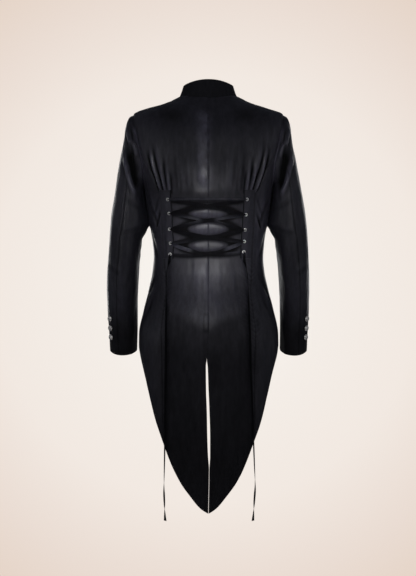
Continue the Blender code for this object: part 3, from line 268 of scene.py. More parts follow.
# The free lace ends: place across, turn of the ribbon about its length, and its width
LaceSpot = namedtuple("LaceSpot", "level place turn width")
LEFT_LACE_END = [
    LaceSpot(-0.4400, 0.1000, 20, 0.0075),
    LaceSpot(-0.4500, 0.1020, 50, 0.0085),
    LaceSpot(-0.4660, 0.1040, 70, 0.0095),
    LaceSpot(-0.4900, 0.1054, 70, 0.0095),
    LaceSpot(-0.5300, 0.1060, 55, 0.0095),
    LaceSpot(-0.5800, 0.1064, 45, 0.0095),
    LaceSpot(-0.6300, 0.1068, 40, 0.0095),
    LaceSpot(-0.6800, 0.1072, 35, 0.0095),
    LaceSpot(-0.7300, 0.1076, 35, 0.0095),
    LaceSpot(-0.7800, 0.1080, 40, 0.0095),
    LaceSpot(-0.8300, 0.1084, 40, 0.0095),
    LaceSpot(-0.8800, 0.1088, 45, 0.0095),
    LaceSpot(-0.9200, 0.1091, 45, 0.0095),
    LaceSpot(-0.9600, 0.1096, 50, 0.0095),
    LaceSpot(-0.9950, 0.1101, 60, 0.0095),
    LaceSpot(-1.0150, 0.1103, 75, 0.0095),
    LaceSpot(-1.0350, 0.1098, 90, 0.0095),
    LaceSpot(-1.0550, 0.1091, 85, 0.0095),
    LaceSpot(-1.0750, 0.1087, 55, 0.0095),
    LaceSpot(-1.1000, 0.1085, 20, 0.0095),
]
RIGHT_LACE_END = [
    LaceSpot(-0.4400, 0.0925, -20, 0.0075),
    LaceSpot(-0.4500, 0.0945, -50, 0.0085),
    LaceSpot(-0.4640, 0.0965, -70, 0.0095),
    LaceSpot(-0.4850, 0.0988, -70, 0.0095),
    LaceSpot(-0.5250, 0.1006, -55, 0.0095),
    LaceSpot(-0.5750, 0.1024, -45, 0.0095),
    LaceSpot(-0.6250, 0.1040, -40, 0.0095),
    LaceSpot(-0.6750, 0.1056, -35, 0.0095),
    LaceSpot(-0.7250, 0.1070, -35, 0.0095),
    LaceSpot(-0.7750, 0.1084, -40, 0.0095),
    LaceSpot(-0.8250, 0.1099, -40, 0.0095),
    LaceSpot(-0.8750, 0.1114, -45, 0.0095),
    LaceSpot(-0.9200, 0.1128, -45, 0.0095),
    LaceSpot(-0.9600, 0.1140, -50, 0.0095),
    LaceSpot(-0.9900, 0.1149, -60, 0.0095),
    LaceSpot(-1.0120, 0.1152, -75, 0.0095),
    LaceSpot(-1.0320, 0.1142, -90, 0.0095),
    LaceSpot(-1.0520, 0.1130, -85, 0.0095),
    LaceSpot(-1.0740, 0.1121, -55, 0.0095),
    LaceSpot(-1.1000, 0.1114, -20, 0.0095),
]
LACE_FREE_LEVEL = -0.760
LACE_CLEARANCE = 0.0034
LACE_STEP = 0.008

# The lace in an eyelet: distance towards the centre, height over the tab's middle, width, thickness
PassStep = namedtuple("PassStep", "inward height width thickness")
EYELET_PASS = [
    PassStep(0.0056, -0.0024, 0.0056, 0.0008),
    PassStep(0.0028, -0.0027, 0.0038, 0.0009),
    PassStep(0.0011, -0.0023, 0.0028, 0.0011),
    PassStep(0.0001, -0.0011, 0.0026, 0.0013),
    PassStep(0.0001, 0.0011, 0.0026, 0.0013),
    PassStep(0.0011, 0.0024, 0.0028, 0.0011),
    PassStep(0.0028, 0.0028, 0.0038, 0.0009),
    PassStep(0.0056, 0.0027, 0.0056, 0.0008),
]
LAST_PASS_STEPS = 5

# The lace between two eyelets: share of the way, height when it lies over and under the other strand
SpanStep = namedtuple("SpanStep", "share over under width")
LACE_SPAN = [
    SpanStep(0.055, 0.0072, 0.0072, 0.0078),
    SpanStep(0.095, 0.0066, 0.0066, 0.0092),
    SpanStep(0.150, 0.0053, 0.0053, 0.0095),
    SpanStep(0.220, 0.0041, 0.0038, 0.0095),
    SpanStep(0.310, 0.0036, 0.0026, 0.0095),
    SpanStep(0.410, 0.0038, 0.0022, 0.0095),
    SpanStep(0.500, 0.0039, 0.0022, 0.0095),
    SpanStep(0.590, 0.0037, 0.0022, 0.0095),
    SpanStep(0.690, 0.0028, 0.0022, 0.0095),
    SpanStep(0.780, 0.0022, 0.0022, 0.0095),
    SpanStep(0.850, 0.0022, 0.0022, 0.0095),
    SpanStep(0.905, 0.0022, 0.0022, 0.0088),
    SpanStep(0.945, 0.0020, 0.0020, 0.0074),
]
SPAN_LEAN = 0.25

# The top bar: share of the way from right to left, and width
BarStep = namedtuple("BarStep", "share width")
TOP_BAR = [
    BarStep(0.06, 0.0074),
    BarStep(0.11, LACE_WIDTH),
    BarStep(0.20, LACE_WIDTH),
    BarStep(0.35, LACE_WIDTH),
    BarStep(0.50, LACE_WIDTH),
    BarStep(0.65, LACE_WIDTH),
    BarStep(0.80, LACE_WIDTH),
    BarStep(0.89, LACE_WIDTH),
    BarStep(0.94, 0.0074),
]

# A free end from its eyelet to the tab's lower edge: drop below the eyelet, height, width, thickness
StartStep = namedtuple("StartStep", "drop height width thickness")
LACE_END_START = [
    StartStep(0.0000, 0.0014, 0.0026, 0.0013),
    StartStep(0.0006, 0.0026, 0.0030, 0.0011),
    StartStep(0.0030, 0.0034, 0.0044, 0.0009),
    StartStep(0.0070, 0.0034, 0.0062, LACE_THICKNESS),
]
TAB_EDGE_STEP = StartStep(0.0020, 0.0038, 0.0070, LACE_THICKNESS)

# Buttons: turn round the sleeve and height on it, and heights down the centre front
CUFF_BUTTON_TURN = 42.0
CUFF_BUTTON_HEIGHTS = [-0.5866, -0.6115, -0.6355]
FRONT_BUTTON_ANGLE = -math.pi + 0.0001
FRONT_BUTTON_LEVELS = [-0.030, -0.120, -0.205, -0.288, -0.370, -0.450]
SEAT_TURN_STEP = 4

# Steps of the shaping
ANGLE_STEP = 0.004
LEVEL_STEP = 0.0006
HALVINGS = 40
SWING_FADE = 6
COLLAR_END_ANGLE = 0.006

# Rows and columns of the fine cloth
FINE = 0.0026
# How dark the painted shade along the tabs' edges is
TAB_EDGE_SHADE = 0.95
COLLAR_COLUMNS = 180
COLLAR_ROWS = 22
TAB_COLUMNS = 22
TAB_ROWS = 120
RIBBON_STEP = 0.0016

# Creases: a line on the cloth, half width, height (negative is a trough) and the ridge beside it
Crease = namedtuple("Crease", "line width height ridge")

# On the back: the lines go through places across and levels
BACK_CREASES = [
    Crease([(0.1152, -0.150), (0.1120, -0.205), (0.1085, -0.242), (0.1040, -0.272)], 0.0034, -0.0040, 0.7),
    Crease([(0.1440, -0.110), (0.1380, -0.165), (0.1200, -0.242), (0.1140, -0.268)], 0.0042, -0.0050, 0.8),
    Crease([(0.1600, -0.120), (0.1530, -0.175), (0.1316, -0.242), (0.1290, -0.262)], 0.0040, -0.0046, 0.7),
    Crease([(0.1240, -0.150), (0.1200, -0.200), (0.1142, -0.240), (0.1085, -0.268)], 0.0026, 0.0024, -0.5),
    Crease([(0.1500, -0.140), (0.1420, -0.200), (0.1258, -0.246), (0.1190, -0.266)], 0.0028, 0.0026, -0.5),
    Crease([(0.0990, -0.200), (0.0965, -0.235), (0.0944, -0.268)], 0.0028, -0.0030, -0.6),
    Crease([(0.1242, -0.300), (0.1290, -0.322), (0.1370, -0.350)], 0.0036, -0.0040, 0.2),
    Crease([(0.1230, -0.262), (0.1330, -0.285), (0.1420, -0.318)], 0.0040, -0.0016, 0.2),
    Crease([(-0.1160, -0.150), (-0.1110, -0.205), (-0.1060, -0.244), (-0.1000, -0.272)], 0.0034, -0.0040, -0.7),
    Crease([(-0.1477, -0.112), (-0.1400, -0.167), (-0.1190, -0.236), (-0.1100, -0.268)], 0.0042, -0.0050, -0.8),
    Crease([(-0.1610, -0.120), (-0.1530, -0.178), (-0.1330, -0.238), (-0.1260, -0.262)], 0.0040, -0.0044, -0.7),
    Crease([(-0.1240, -0.150), (-0.1190, -0.205), (-0.1125, -0.242), (-0.1050, -0.270)], 0.0026, 0.0024, 0.5),
    Crease([(-0.1490, -0.150), (-0.1410, -0.205), (-0.1260, -0.242), (-0.1170, -0.266)], 0.0028, 0.0026, 0.5),
    Crease([(-0.0980, -0.195), (-0.0950, -0.230), (-0.0910, -0.268)], 0.0028, -0.0030, 0.6),
    Crease([(-0.1247, -0.305), (-0.1300, -0.328), (-0.1375, -0.354)], 0.0036, -0.0040, -0.2),
    Crease([(-0.1210, -0.260), (-0.1320, -0.290), (-0.1400, -0.322)], 0.0040, -0.0016, -0.2),
    Crease([(0.0620, -0.110), (0.0600, -0.180), (0.0570, -0.250)], 0.0050, -0.0009, 0.5),
    Crease([(0.0300, -0.080), (0.0320, -0.150), (0.0300, -0.245)], 0.0056, -0.0010, 0.5),
    Crease([(0.0450, -0.130), (0.0460, -0.190), (0.0430, -0.255)], 0.0040, -0.0008, -0.5),
    Crease([(0.0880, -0.135), (0.0850, -0.190), (0.0800, -0.260)], 0.0040, -0.0012, 0.5),
    Crease([(0.0760, -0.165), (0.0740, -0.215), (0.0700, -0.262)], 0.0034, -0.0010, 0.5),
    Crease([(-0.0420, -0.095), (-0.0400, -0.160), (-0.0380, -0.248)], 0.0056, -0.0010, -0.5),
    Crease([(-0.0290, -0.140), (-0.0300, -0.200), (-0.0280, -0.255)], 0.0040, -0.0008, 0.5),
    Crease([(-0.0700, -0.120), (-0.0680, -0.190), (-0.0640, -0.255)], 0.0050, -0.0010, -0.5),
    Crease([(-0.0930, -0.145), (-0.0890, -0.200), (-0.0840, -0.262)], 0.0040, -0.0013, -0.5),
    Crease([(-0.0790, -0.170), (-0.0760, -0.220), (-0.0730, -0.262)], 0.0034, -0.0010, -0.5),
]

# Elsewhere on the body: the lines go through angles in degrees and levels
ROUND_CREASES = [
    Crease([(72, -0.250), (66, -0.300), (58, -0.340)], 0.0060, -0.0018, 0.5),
    Crease([(86, -0.330), (76, -0.380), (64, -0.430)], 0.0060, -0.0016, 0.5),
    Crease([(62, -0.470), (74, -0.520), (84, -0.580)], 0.0055, -0.0018, 0.5),
    Crease([(56, -0.500), (64, -0.560), (72, -0.625)], 0.0050, -0.0016, -0.5),
    Crease([(-71, -0.255), (-64, -0.305), (-57, -0.345)], 0.0060, -0.0018, -0.5),
    Crease([(-87, -0.335), (-75, -0.385), (-63, -0.435)], 0.0060, -0.0016, -0.5),
    Crease([(-61, -0.465), (-72, -0.515), (-82, -0.575)], 0.0055, -0.0018, -0.5),
    Crease([(-55, -0.505), (-63, -0.565), (-70, -0.630)], 0.0050, -0.0016, 0.5),
    Crease([(108, -0.230), (122, -0.280), (140, -0.320)], 0.0070, -0.0024, 0.6),
    Crease([(100, -0.330), (118, -0.370), (140, -0.385)], 0.0065, -0.0022, 0.5),
    Crease([(104, -0.420), (122, -0.405), (146, -0.402)], 0.0060, -0.0018, -0.5),
    Crease([(118, -0.150), (128, -0.210), (136, -0.260)], 0.0070, -0.0020, 0.5),
    Crease([(-110, -0.235), (-124, -0.285), (-142, -0.322)], 0.0070, -0.0024, -0.6),
    Crease([(-101, -0.325), (-116, -0.362), (-138, -0.380)], 0.0065, -0.0022, -0.5),
    Crease([(-103, -0.425), (-124, -0.412), (-148, -0.404)], 0.0060, -0.0018, 0.5),
    Crease([(-117, -0.155), (-126, -0.205), (-134, -0.255)], 0.0070, -0.0020, -0.5),
]

# On the left sleeve, and the same on the right: the lines go through turns in degrees and heights
SLEEVE_CREASES = [
    Crease([(46, -0.116), (58, -0.144), (80, -0.178), (106, -0.214), (134, -0.246)], 0.0150, -0.0120, 0.30),
    Crease([(32, -0.136), (41, -0.166), (65, -0.199), (87, -0.233), (110, -0.2675)], 0.0055, 0.0040, -0.3),
    Crease([(60, -0.116), (80, -0.130), (100, -0.150)], 0.0045, 0.0030, -0.4),
    Crease([(22, -0.078), (46, -0.106), (62, -0.134)], 0.0040, 0.0030, -0.6),
    Crease([(36, -0.070), (58, -0.100), (74, -0.126)], 0.0034, -0.0026, 0.6),
    Crease([(2, -0.080), (22, -0.118), (34, -0.150)], 0.0050, -0.0020, 0.5),
    Crease([(60, -0.262), (96, -0.286), (128, -0.300)], 0.0070, -0.0009, 0.5),
    Crease([(150, -0.340), (110, -0.356), (76, -0.362)], 0.0060, -0.0009, -0.5),
    Crease([(8, -0.440), (48, -0.452), (90, -0.470)], 0.0070, -0.0008, 0.5),
    Crease([(150, -0.368), (190, -0.378), (236, -0.394)], 0.0080, -0.0012, 0.5),
    Crease([(160, -0.402), (200, -0.408), (250, -0.392)], 0.0075, -0.0014, -0.5),
    Crease([(296, -0.150), (268, -0.200), (232, -0.252)], 0.0110, -0.0084, -0.4),
    Crease([(318, -0.138), (288, -0.152), (262, -0.174)], 0.0050, 0.0026, 0.4),
    Crease([(250, -0.330), (280, -0.352), (316, -0.346)], 0.0070, -0.0014, 0.5),
]
SLEEVE_SIDE_SHIFT = 3.0
SLEEVE_SLACK = 1.3
SLEEVE_RIPPLE = 1.3

# The sleeve's seam allowance under the body's cloth: way in and drop, from the inside to the seam
SLEEVE_TUCK = [(0.0060, 0.0030), (0.0036, 0.0026), (0.0018, 0.0018), (0.0008, 0.0008)]

# How far the collar and the neck edge reach into each other
COLLAR_TUCK = 0.12
# The collar's satin is drawn darker all over, as painted shade
COLLAR_PAINTED_SHADE = 0.40


class SmoothCurve:
    """A smooth curve through given points that never overshoots them."""

    def __init__(self, keys, values):
        order = np.argsort(keys)
        self.keys = np.asarray(keys, dtype=float)[order]
        self.values = np.asarray(values, dtype=float)[order]
        step = np.diff(self.keys)
        slope = np.diff(self.values) / step
        bend = np.zeros_like(self.keys)
        bend[0] = slope[0]
        bend[-1] = slope[-1]
        for spot in range(1, len(self.keys) - 1):
            before = slope[spot - 1]
            after = slope[spot]
            if before * after > 0:
                heavy = 2 * step[spot] + step[spot - 1]
                light = step[spot] + 2 * step[spot - 1]
                bend[spot] = (heavy + light) / (heavy / before + light / after)
        self.bend = bend

    def __call__(self, key):
        key = np.clip(np.asarray(key, dtype=float), self.keys[0], self.keys[-1])
        spot = np.clip(np.searchsorted(self.keys, key) - 1, 0, len(self.keys) - 2)
        width = self.keys[spot + 1] - self.keys[spot]
        share = (key - self.keys[spot]) / width
        rest = 1 - share
        return (self.values[spot] * (1 + 2 * share) * rest ** 2
                + self.values[spot + 1] * (3 - 2 * share) * share ** 2
                + width * self.bend[spot] * share * rest ** 2
                - width * self.bend[spot + 1] * rest * share ** 2)


def table_curve(table, key, value):
    """A smooth curve through two named columns of a table."""
    return SmoothCurve([getattr(row, key) for row in table], [getattr(row, value) for row in table])


HALF_WIDTH = table_curve(BODY, "level", "half_width")
BACK_REACH = table_curve(BODY, "level", "back")
FRONT_REACH = table_curve(BODY, "level", "front")
BACK_HEIGHT = table_curve(BODY, "level", "back_height")
FRONT_HEIGHT = table_curve(BODY, "level", "front_height")
SQUARE = table_curve(BODY, "level", "square")
HEM_ANGLE = table_curve(HEM, "level", "angle")
VENT_LEFT = table_curve(VENT, "level", "left")
VENT_RIGHT = table_curve(VENT, "level", "right")
ARMHOLE_ANGLE = table_curve(ARMHOLE, "turn", "angle")
ARMHOLE_LEVEL = table_curve(ARMHOLE, "turn", "level")


def rounded(wave, power):
    """A sine or cosine wave made squarer, with its sign."""
    return np.sign(wave) * np.abs(wave) ** power


def mix(first, second, share):
    """A value between two others, by a share of the way from the first to the second."""
    return first * (1 - share) + second * share


def smooth_step(value, start, end):
    """Zero before start, one after end, and smooth between."""
    share = np.clip((value - start) / (end - start), 0, 1)
    return share * share * (3 - 2 * share)


def unit(vectors):
    """The same directions with length one."""
    return vectors / np.maximum(np.linalg.norm(vectors, axis=-1, keepdims=True), 1e-12)


def plain_body(angle, level):
    """Points on the middle of the cloth, without folds."""
    sine = np.sin(angle)
    cosine = np.cos(angle)
    power = 2 / SQUARE(level)
    behind = cosine > 0
    reach = np.where(behind, BACK_REACH(level), FRONT_REACH(level))
    height = np.where(behind, BACK_HEIGHT(level), FRONT_HEIGHT(level))
    lean = cosine ** 2
    return np.stack([HALF_WIDTH(level) * rounded(sine, power),
                     reach * rounded(cosine, power),
                     level * (1 - lean) + height * lean], axis=-1)


def body_normal(angle, level):
    """Outward directions of the body."""
    around = plain_body(angle + ANGLE_STEP, level) - plain_body(angle - ANGLE_STEP, level)
    up = plain_body(angle, level + LEVEL_STEP) - plain_body(angle, level - LEVEL_STEP)
    return unit(np.cross(up, around))


def angle_at(distance, level):
    """The angle where the back of a ring is this far across from the centre line."""
    share = np.clip(np.abs(distance) / HALF_WIDTH(level), 0, 1)
    return np.sign(distance) * np.arcsin(share ** (SQUARE(level) / 2))


def fold_relief(angle, level):
    """How far the large folds stand out."""
    relief = np.zeros(np.broadcast(angle, level).shape)
    for fold in FOLDS:
        along = np.clip((level - fold.top_level) / (fold.bottom_level - fold.top_level), -1, 2)
        line = np.radians(fold.top_angle + (fold.bottom_angle - fold.top_angle) * along)
        across = (angle - line) * BACK_REACH(level)
        window = smooth_step(along, 0, FOLD_RISE)
        window = window * (1 - smooth_step(along, FOLD_FADE_START, FOLD_FADE_END))
        relief = relief + fold.height * window * np.exp(-(across / fold.width) ** 2)
    return relief


def bulge_relief(angle, level):
    """The cloth bulges between the crossings of the lace and is pressed in under them."""
    crossings = [BULGE_TOP_LEVEL] + [row.crossing_level for row in EYELETS if row.crossing_level]
    crossings.append(BULGE_BOTTOM_LEVEL)
    counts = np.arange(len(crossings), dtype=float)
    phase = SmoothCurve(crossings, counts)(level)
    inside = smooth_step(level, BULGE_BOTTOM_LEVEL, BULGE_BOTTOM_LEVEL + BULGE_BOTTOM_EDGE)
    inside = inside * (1 - smooth_step(level, BULGE_TOP_LEVEL - BULGE_TOP_EDGE,
                                       BULGE_TOP_LEVEL + BULGE_TOP_EDGE))
    distance = np.abs(plain_body(angle, level)[..., 0])
    inside = inside * (1 - smooth_step(distance, BULGE_FULL_SHARE * BULGE_REACH, BULGE_REACH))
    inside = inside * (np.cos(angle) > 0)
    return BULGE_HEIGHT * inside * np.sin(np.pi * phase) ** 2


def puff_relief(points):
    """The lens-shaped puffs of cloth between the strands of lace."""
    crossings = [row.crossing_level for row in EYELETS if row.crossing_level]
    relief = np.zeros(points.shape[:-1])
    for upper, lower in zip(crossings, crossings[1:]):
        across = points[..., 0] / PUFF_WIDTH
        along = (points[..., 2] - (upper + lower) / 2) / ((upper - lower) * PUFF_SHARE)
        reach = np.sqrt(across ** 2 + along ** 2)
        relief = relief + PUFF_HEIGHT * (1 - smooth_step(reach, PUFF_TOP, PUFF_EDGE))
    return relief * (points[..., 1] > 0)


# Painted shadow that each crossing row of lace throws on the cloth: how dark, how far below the strand and how wide
LACE_SHADE = [0.92, 0.55, 0.90, 0.80]
LACE_SHADE_DROP = 0.0030
LACE_SHADE_REACH = 0.0065


def lace_shade(points):
    """The painted shadow that the strands of lace throw on the cloth just below them."""
    tone = np.ones(points.shape[:-1])
    behind = (points[..., 1] > 0) & (np.abs(points[..., 0]) < 0.095)
    for row, dark in enumerate(LACE_SHADE):
        for side in (1, -1):
            start, start_level = eyelet_places(side)[row]
            end, end_level = eyelet_places(-side)[row + 1]
            share = np.clip((side * start - points[..., 0]) / (side * (start + end)), 0, 1)
            level = mix(start_level, end_level, share)
            level += (EYELETS[row].crossing_level - (start_level + end_level) / 2) * 4 * share * (1 - share)
            gap = points[..., 2] - level + LACE_SHADE_DROP
            tone = tone * (1 - dark * behind * np.exp(-(gap / LACE_SHADE_REACH) ** 2))
    return tone


def puff_painted_light(points):
    """Painted highlight on the puffs and painted shade in the hollows round them."""
    crossings = [row.crossing_level for row in EYELETS if row.crossing_level]
    tone = np.ones(points.shape[:-1])
    behind = points[..., 1] > 0
    for upper, lower, light in zip(crossings, crossings[1:], PUFF_HIGHLIGHT):
        across = points[..., 0] / PUFF_WIDTH
        along = (points[..., 2] - (upper + lower) / 2) / ((upper - lower) * PUFF_SHARE)
        reach = np.sqrt(across ** 2 + along ** 2)
        ring = smooth_step(reach, 0.80, 1.05) * (1 - smooth_step(reach, 1.30, 1.75)) * (np.abs(along) < 1.3)
        top = 1 - smooth_step(reach, 0.65, 1.0)
        tone = tone * (1 - PUFF_SHADE * behind * ring) * (1 + light * behind * top)
    return tone


def lap_relief(angle, level):
    """The right front lies over the left one at the centre front."""
    distance = plain_body(angle, level)[..., 0]
    lifted = smooth_step(distance, -LAP_START, -LAP_START / 2)
    return (CLOTH + AIR) * lifted * (np.cos(angle) < 0) * (angle < 0)


def body(angle, level):
    """Points on the middle of the cloth, folds and all."""
    angle = np.asarray(angle, dtype=float)
    level = np.asarray(level, dtype=float)
    relief = fold_relief(angle, level) + bulge_relief(angle, level) + lap_relief(angle, level)
    return plain_body(angle, level) + body_normal(angle, level) * relief[..., None]


def armhole(turn):
    """The angle and level of a point of the armhole."""
    return np.radians(ARMHOLE_ANGLE(turn)), ARMHOLE_LEVEL(turn)


def princess_curve():
    """The angle of the seam between back and side back, at any level."""
    start_angle, start_level = armhole(BACK_SEAM_TURN)
    levels = [float(start_level)] + [spot.level for spot in PRINCESS_SEAM]
    angles = [float(start_angle)]
    for spot in PRINCESS_SEAM:
        angles.append(float(angle_at(spot.distance, spot.level)))
    return SmoothCurve(levels, angles)


PRINCESS_ANGLE = princess_curve()
SIDE_SEAM_ANGLE = math.radians(UNDERARM_ANGLE)


def hem_level(column_angle):
    """The level where a column of cloth meets the edge of the coat."""
    low = HEM[-1].level
    high = HEM[0].level
    for _ in range(HALVINGS):
        middle = (low + high) / 2
        if math.radians(float(HEM_ANGLE(middle))) > column_angle(middle):
            high = middle
        else:
            low = middle
    return (low + high) / 2


def off_body(place, level, lift):
    """A point that stands off the middle of the back's cloth, and the outward direction there."""
    angle = angle_at(place, level)
    normal = body_normal(angle, np.asarray(level, dtype=float))
    return body(angle, level) + normal * np.asarray(lift)[..., None], normal


def eyelet_places(side):
    """Places across and levels of the eyelets on one side."""
    if side > 0:
        return [(row.left, row.left_level) for row in EYELETS]
    return [(row.right, row.right_level) for row in EYELETS]


def eyelet_line(side):
    """The place across of the line of eyelets, at any level."""
    places = eyelet_places(side)
    return SmoothCurve([level for _, level in places], [place for place, _ in places])


def eyelet_seat(side, place, level):
    """The middle of an eyelet and its axis."""
    return off_body(np.array(side * place), np.array(level), TAB_EYELET_LIFT)


# Meshes

def new_object(name, vertices, faces):
    """An object riding on the coat, from points and faces given as arrays or lists."""
    mesh = bpy.data.meshes.new(name)
    mesh.from_pydata([tuple(vertex) for vertex in np.asarray(vertices, dtype=float)], [], faces)
    mesh.shade_smooth()
    thing = bpy.data.objects.new(name, mesh)
    bpy.context.scene.collection.objects.link(thing)
    return thing


def border_of(grid):
    """The values of a grid along its border, once round."""
    return np.concatenate([grid[0, :], grid[1:, -1], grid[-1, -2::-1], grid[-2:0:-1, 0]])


def grid_object(name, points, inner, rims, tone):
    """A closed wall of quads: outer points, inner points and the rounded rim's points between."""
    rows, columns = points.shape[:2]
    count = rows * columns
    index = np.arange(count).reshape(rows, columns)
    quads = np.stack([index[:-1, :-1], index[1:, :-1], index[1:, 1:], index[:-1, 1:]], axis=-1).reshape(-1, 4)
    rim = border_of(index)
    middle = 2 * count + np.arange(len(rim))
    after = np.roll(rim, -1)
    middle_after = np.roll(middle, -1)
    outer_rim = np.stack([rim, after, middle_after, middle], axis=-1)
    inner_rim = np.stack([middle, middle_after, after + count, rim + count], axis=-1)
    faces = np.concatenate([quads, quads[:, ::-1] + count, outer_rim, inner_rim])
    vertices = np.concatenate([points.reshape(-1, 3), inner.reshape(-1, 3), rims])
    first = quads[len(quads) // 2]
    corner = vertices[first]
    faced = np.cross(corner[1] - corner[0], corner[3] - corner[0])
    outward = vertices[first[0]] - vertices[first[0] + count]
    if np.dot(faced, outward) < 0:
        faces = faces[:, ::-1]
    mesh = bpy.data.meshes.new(name)
    mesh.vertices.add(len(vertices))
    mesh.vertices.foreach_set("co", vertices.astype(np.float32).ravel())
    mesh.loops.add(faces.size)
    mesh.loops.foreach_set("vertex_index", faces.astype(np.int32).ravel())
    mesh.polygons.add(len(faces))
    mesh.polygons.foreach_set("loop_start", np.arange(0, faces.size, 4, dtype=np.int32))
    mesh.update(calc_edges=True)
    mesh.validate()
    # The tone attribute: the cloth's own patchy tone with painted shade and painted highlights
    tones = mesh.attributes.new("tone", "FLOAT", "POINT")
    tones.data.foreach_set("value", np.concatenate([tone.ravel(), tone.ravel(), border_of(tone)]).astype(np.float32))
    mesh.shade_smooth()
    thing = bpy.data.objects.new(name, mesh)
    bpy.context.scene.collection.objects.link(thing)
    return thing


def grid_normals(points, closed=False):
    """Directions square to a grid of points; their sense follows the grid."""
    if closed:
        across = np.roll(points, -1, axis=1) - np.roll(points, 1, axis=1)
    else:
        across = np.gradient(points, axis=1)
    along = np.gradient(points, axis=0)
    return unit(np.cross(along, across))


def rim_points(points, inner, thickness):
    """Points along the border, half way through the cloth and rounded outwards."""
    middle = (points + inner) / 2
    push = np.zeros_like(middle)
    push[0, :] += unit(middle[0, :] - middle[1, :])
    push[-1, :] += unit(middle[-1, :] - middle[-2, :])
    push[:, 0] += unit(middle[:, 0] - middle[:, 1])
    push[:, -1] += unit(middle[:, -1] - middle[:, -2])
    middle = middle + unit(push) * thickness * RIM_ROUNDING
    return border_of(middle)


def pull_in(points, gap, sides):
    """Move the named borders of a grid of points inwards by half a seam gap."""
    moved = points.copy()
    borders = {"top": ((0, slice(None)), (1, slice(None))),
               "bottom": ((-1, slice(None)), (-2, slice(None))),
               "start": ((slice(None), 0), (slice(None), 1)),
               "end": ((slice(None), -1), (slice(None), -2))}
    for side in sides:
        border, neighbour = borders[side]
        moved[border] = moved[border] + unit(points[neighbour] - points[border]) * gap / 2
    return moved


def cloth_wall(name, points, thickness, outward, tone, sides=("top", "bottom", "start", "end")):
    """A closed wall of cloth on a fine grid of points; outward points to its outer side."""
    points = pull_in(points, SEAM_GAP + 2 * RIM_ROUNDING * thickness, sides)
    normals = grid_normals(points)
    if np.sum(normals * outward) < 0:
        normals = -normals
    outer = points + normals * thickness / 2
    inner = points - normals * thickness / 2
    return grid_object(name, outer, inner, rim_points(outer, inner, thickness), tone)


def graded(count, length, first=0.0013, growth=1.4):
    """Shares from 0 to 1 that crowd at both ends, where a seam's rounding needs them."""
    steps = [0.0]
    step = first / length
    while step < 1.0 / count:
        steps.append(steps[-1] + step)
        step *= growth
    middle = np.linspace(steps[-1], 1 - steps[-1], count)
    return np.concatenate([steps[:-1], middle, 1 - np.array(steps[:-1])[::-1]])


# Relief

def noise_hash(cells, seed):
    """A fixed pseudo-random number between -1 and 1 for each cell of space."""
    mixed = (cells[..., 0] * 73856093) ^ (cells[..., 1] * 19349663) ^ (cells[..., 2] * 83492791) ^ (seed * 2654435)
    mixed = (mixed ^ (mixed >> 13)) * 1274126177
    mixed = mixed ^ (mixed >> 16)
    return (mixed & 0xFFFF) / 32767.5 - 1


def soft_noise(points, sizes, seed):
    """Smooth noise between -1 and 1, with its own grain size along each axis."""
    scaled = points / np.asarray(sizes) + seed * 7.31
    cells = np.floor(scaled).astype(np.int64)
    share = scaled - cells
    share = share * share * (3 - 2 * share)
    total = 0
    for corner in range(8):
        shift = np.array([corner & 1, (corner >> 1) & 1, corner >> 2])
        weight = np.prod(np.where(shift == 1, share, 1 - share), axis=-1)
        total = total + weight * noise_hash(cells + shift, seed)
    return total


def smooth_line(points, count=24):
    """A smooth line of many points through a few."""
    points = np.asarray(points, dtype=float)
    length = np.concatenate([[0], np.cumsum(np.linalg.norm(np.diff(points, axis=0), axis=-1))])
    even = np.linspace(0, length[-1], count)
    return np.stack([SmoothCurve(length, points[:, axis])(even) for axis in range(3)], axis=-1)


# How strongly the creases carry painted shade in their troughs and painted highlight on their ridges
DEEP_CREASE = 0.0036
FAINT_CREASE = 0.25
DEEPEST_CREASE_SHADE = 1.3
CREASE_RIDGE_HIGHLIGHT = 1.6


def crease_relief(points, normals, line, crease):
    """How far one crease moves the cloth at each point, and the painted shade and painted highlight that it puts in
    the cloth's tone.
    """
    reach = 4 * crease.width
    near = np.all((points > line.min(axis=0) - reach) & (points < line.max(axis=0) + reach), axis=-1)
    relief = np.zeros(points.shape[:-1])
    tone = np.zeros(points.shape[:-1])
    spots = points[near]
    if not len(spots):
        return relief, tone
    start = line[:-1]
    way = line[1:] - line[:-1]
    offset = spots[:, None, :] - start[None]
    share = np.clip(np.sum(offset * way, axis=-1) / np.sum(way * way, axis=-1), 0, 1)
    gap = offset - way * share[..., None]
    distance = np.linalg.norm(gap, axis=-1)
    nearest = np.argmin(distance, axis=1)
    rows = np.arange(len(spots))
    gap = gap[rows, nearest]
    along = (nearest + share[rows, nearest]) / len(way)
    sideways = np.cross(normals[near], unit(way[nearest]))
    across = np.sum(gap * sideways, axis=-1)
    fade = smooth_step(along, 0, 0.45) * (1 - smooth_step(along, 0.86, 1.0))
    spread = crease.width * (1.2 - 0.4 * along)
    trough = np.exp(-(across / spread) ** 2)
    side = np.sign(crease.ridge)
    shoulder = np.exp(-((across - side * 1.9 * spread) / (1.2 * spread)) ** 2)
    ends = np.exp(-(np.maximum(distance[rows, nearest] ** 2 - across ** 2, 0)) / crease.width ** 2)
    relief[near] = crease.height * fade * ends * (trough - abs(crease.ridge) * shoulder)
    # Painted shade along a trough and painted highlight on the ridge beside it; a raised crease gets the painted
    # highlight on its own line
    strength = min(max(abs(crease.height) / DEEP_CREASE, FAINT_CREASE), DEEPEST_CREASE_SHADE)
    flat = np.exp(-(across / (1.15 * spread)) ** 4)
    light = CREASE_RIDGE_HIGHLIGHT * abs(crease.ridge) * shoulder
    shade = light - flat if crease.height < 0 else CREASE_RIDGE_HIGHLIGHT * flat - abs(crease.ridge) * shoulder
    tone[near] = strength * fade * ends * shade
    return relief, tone


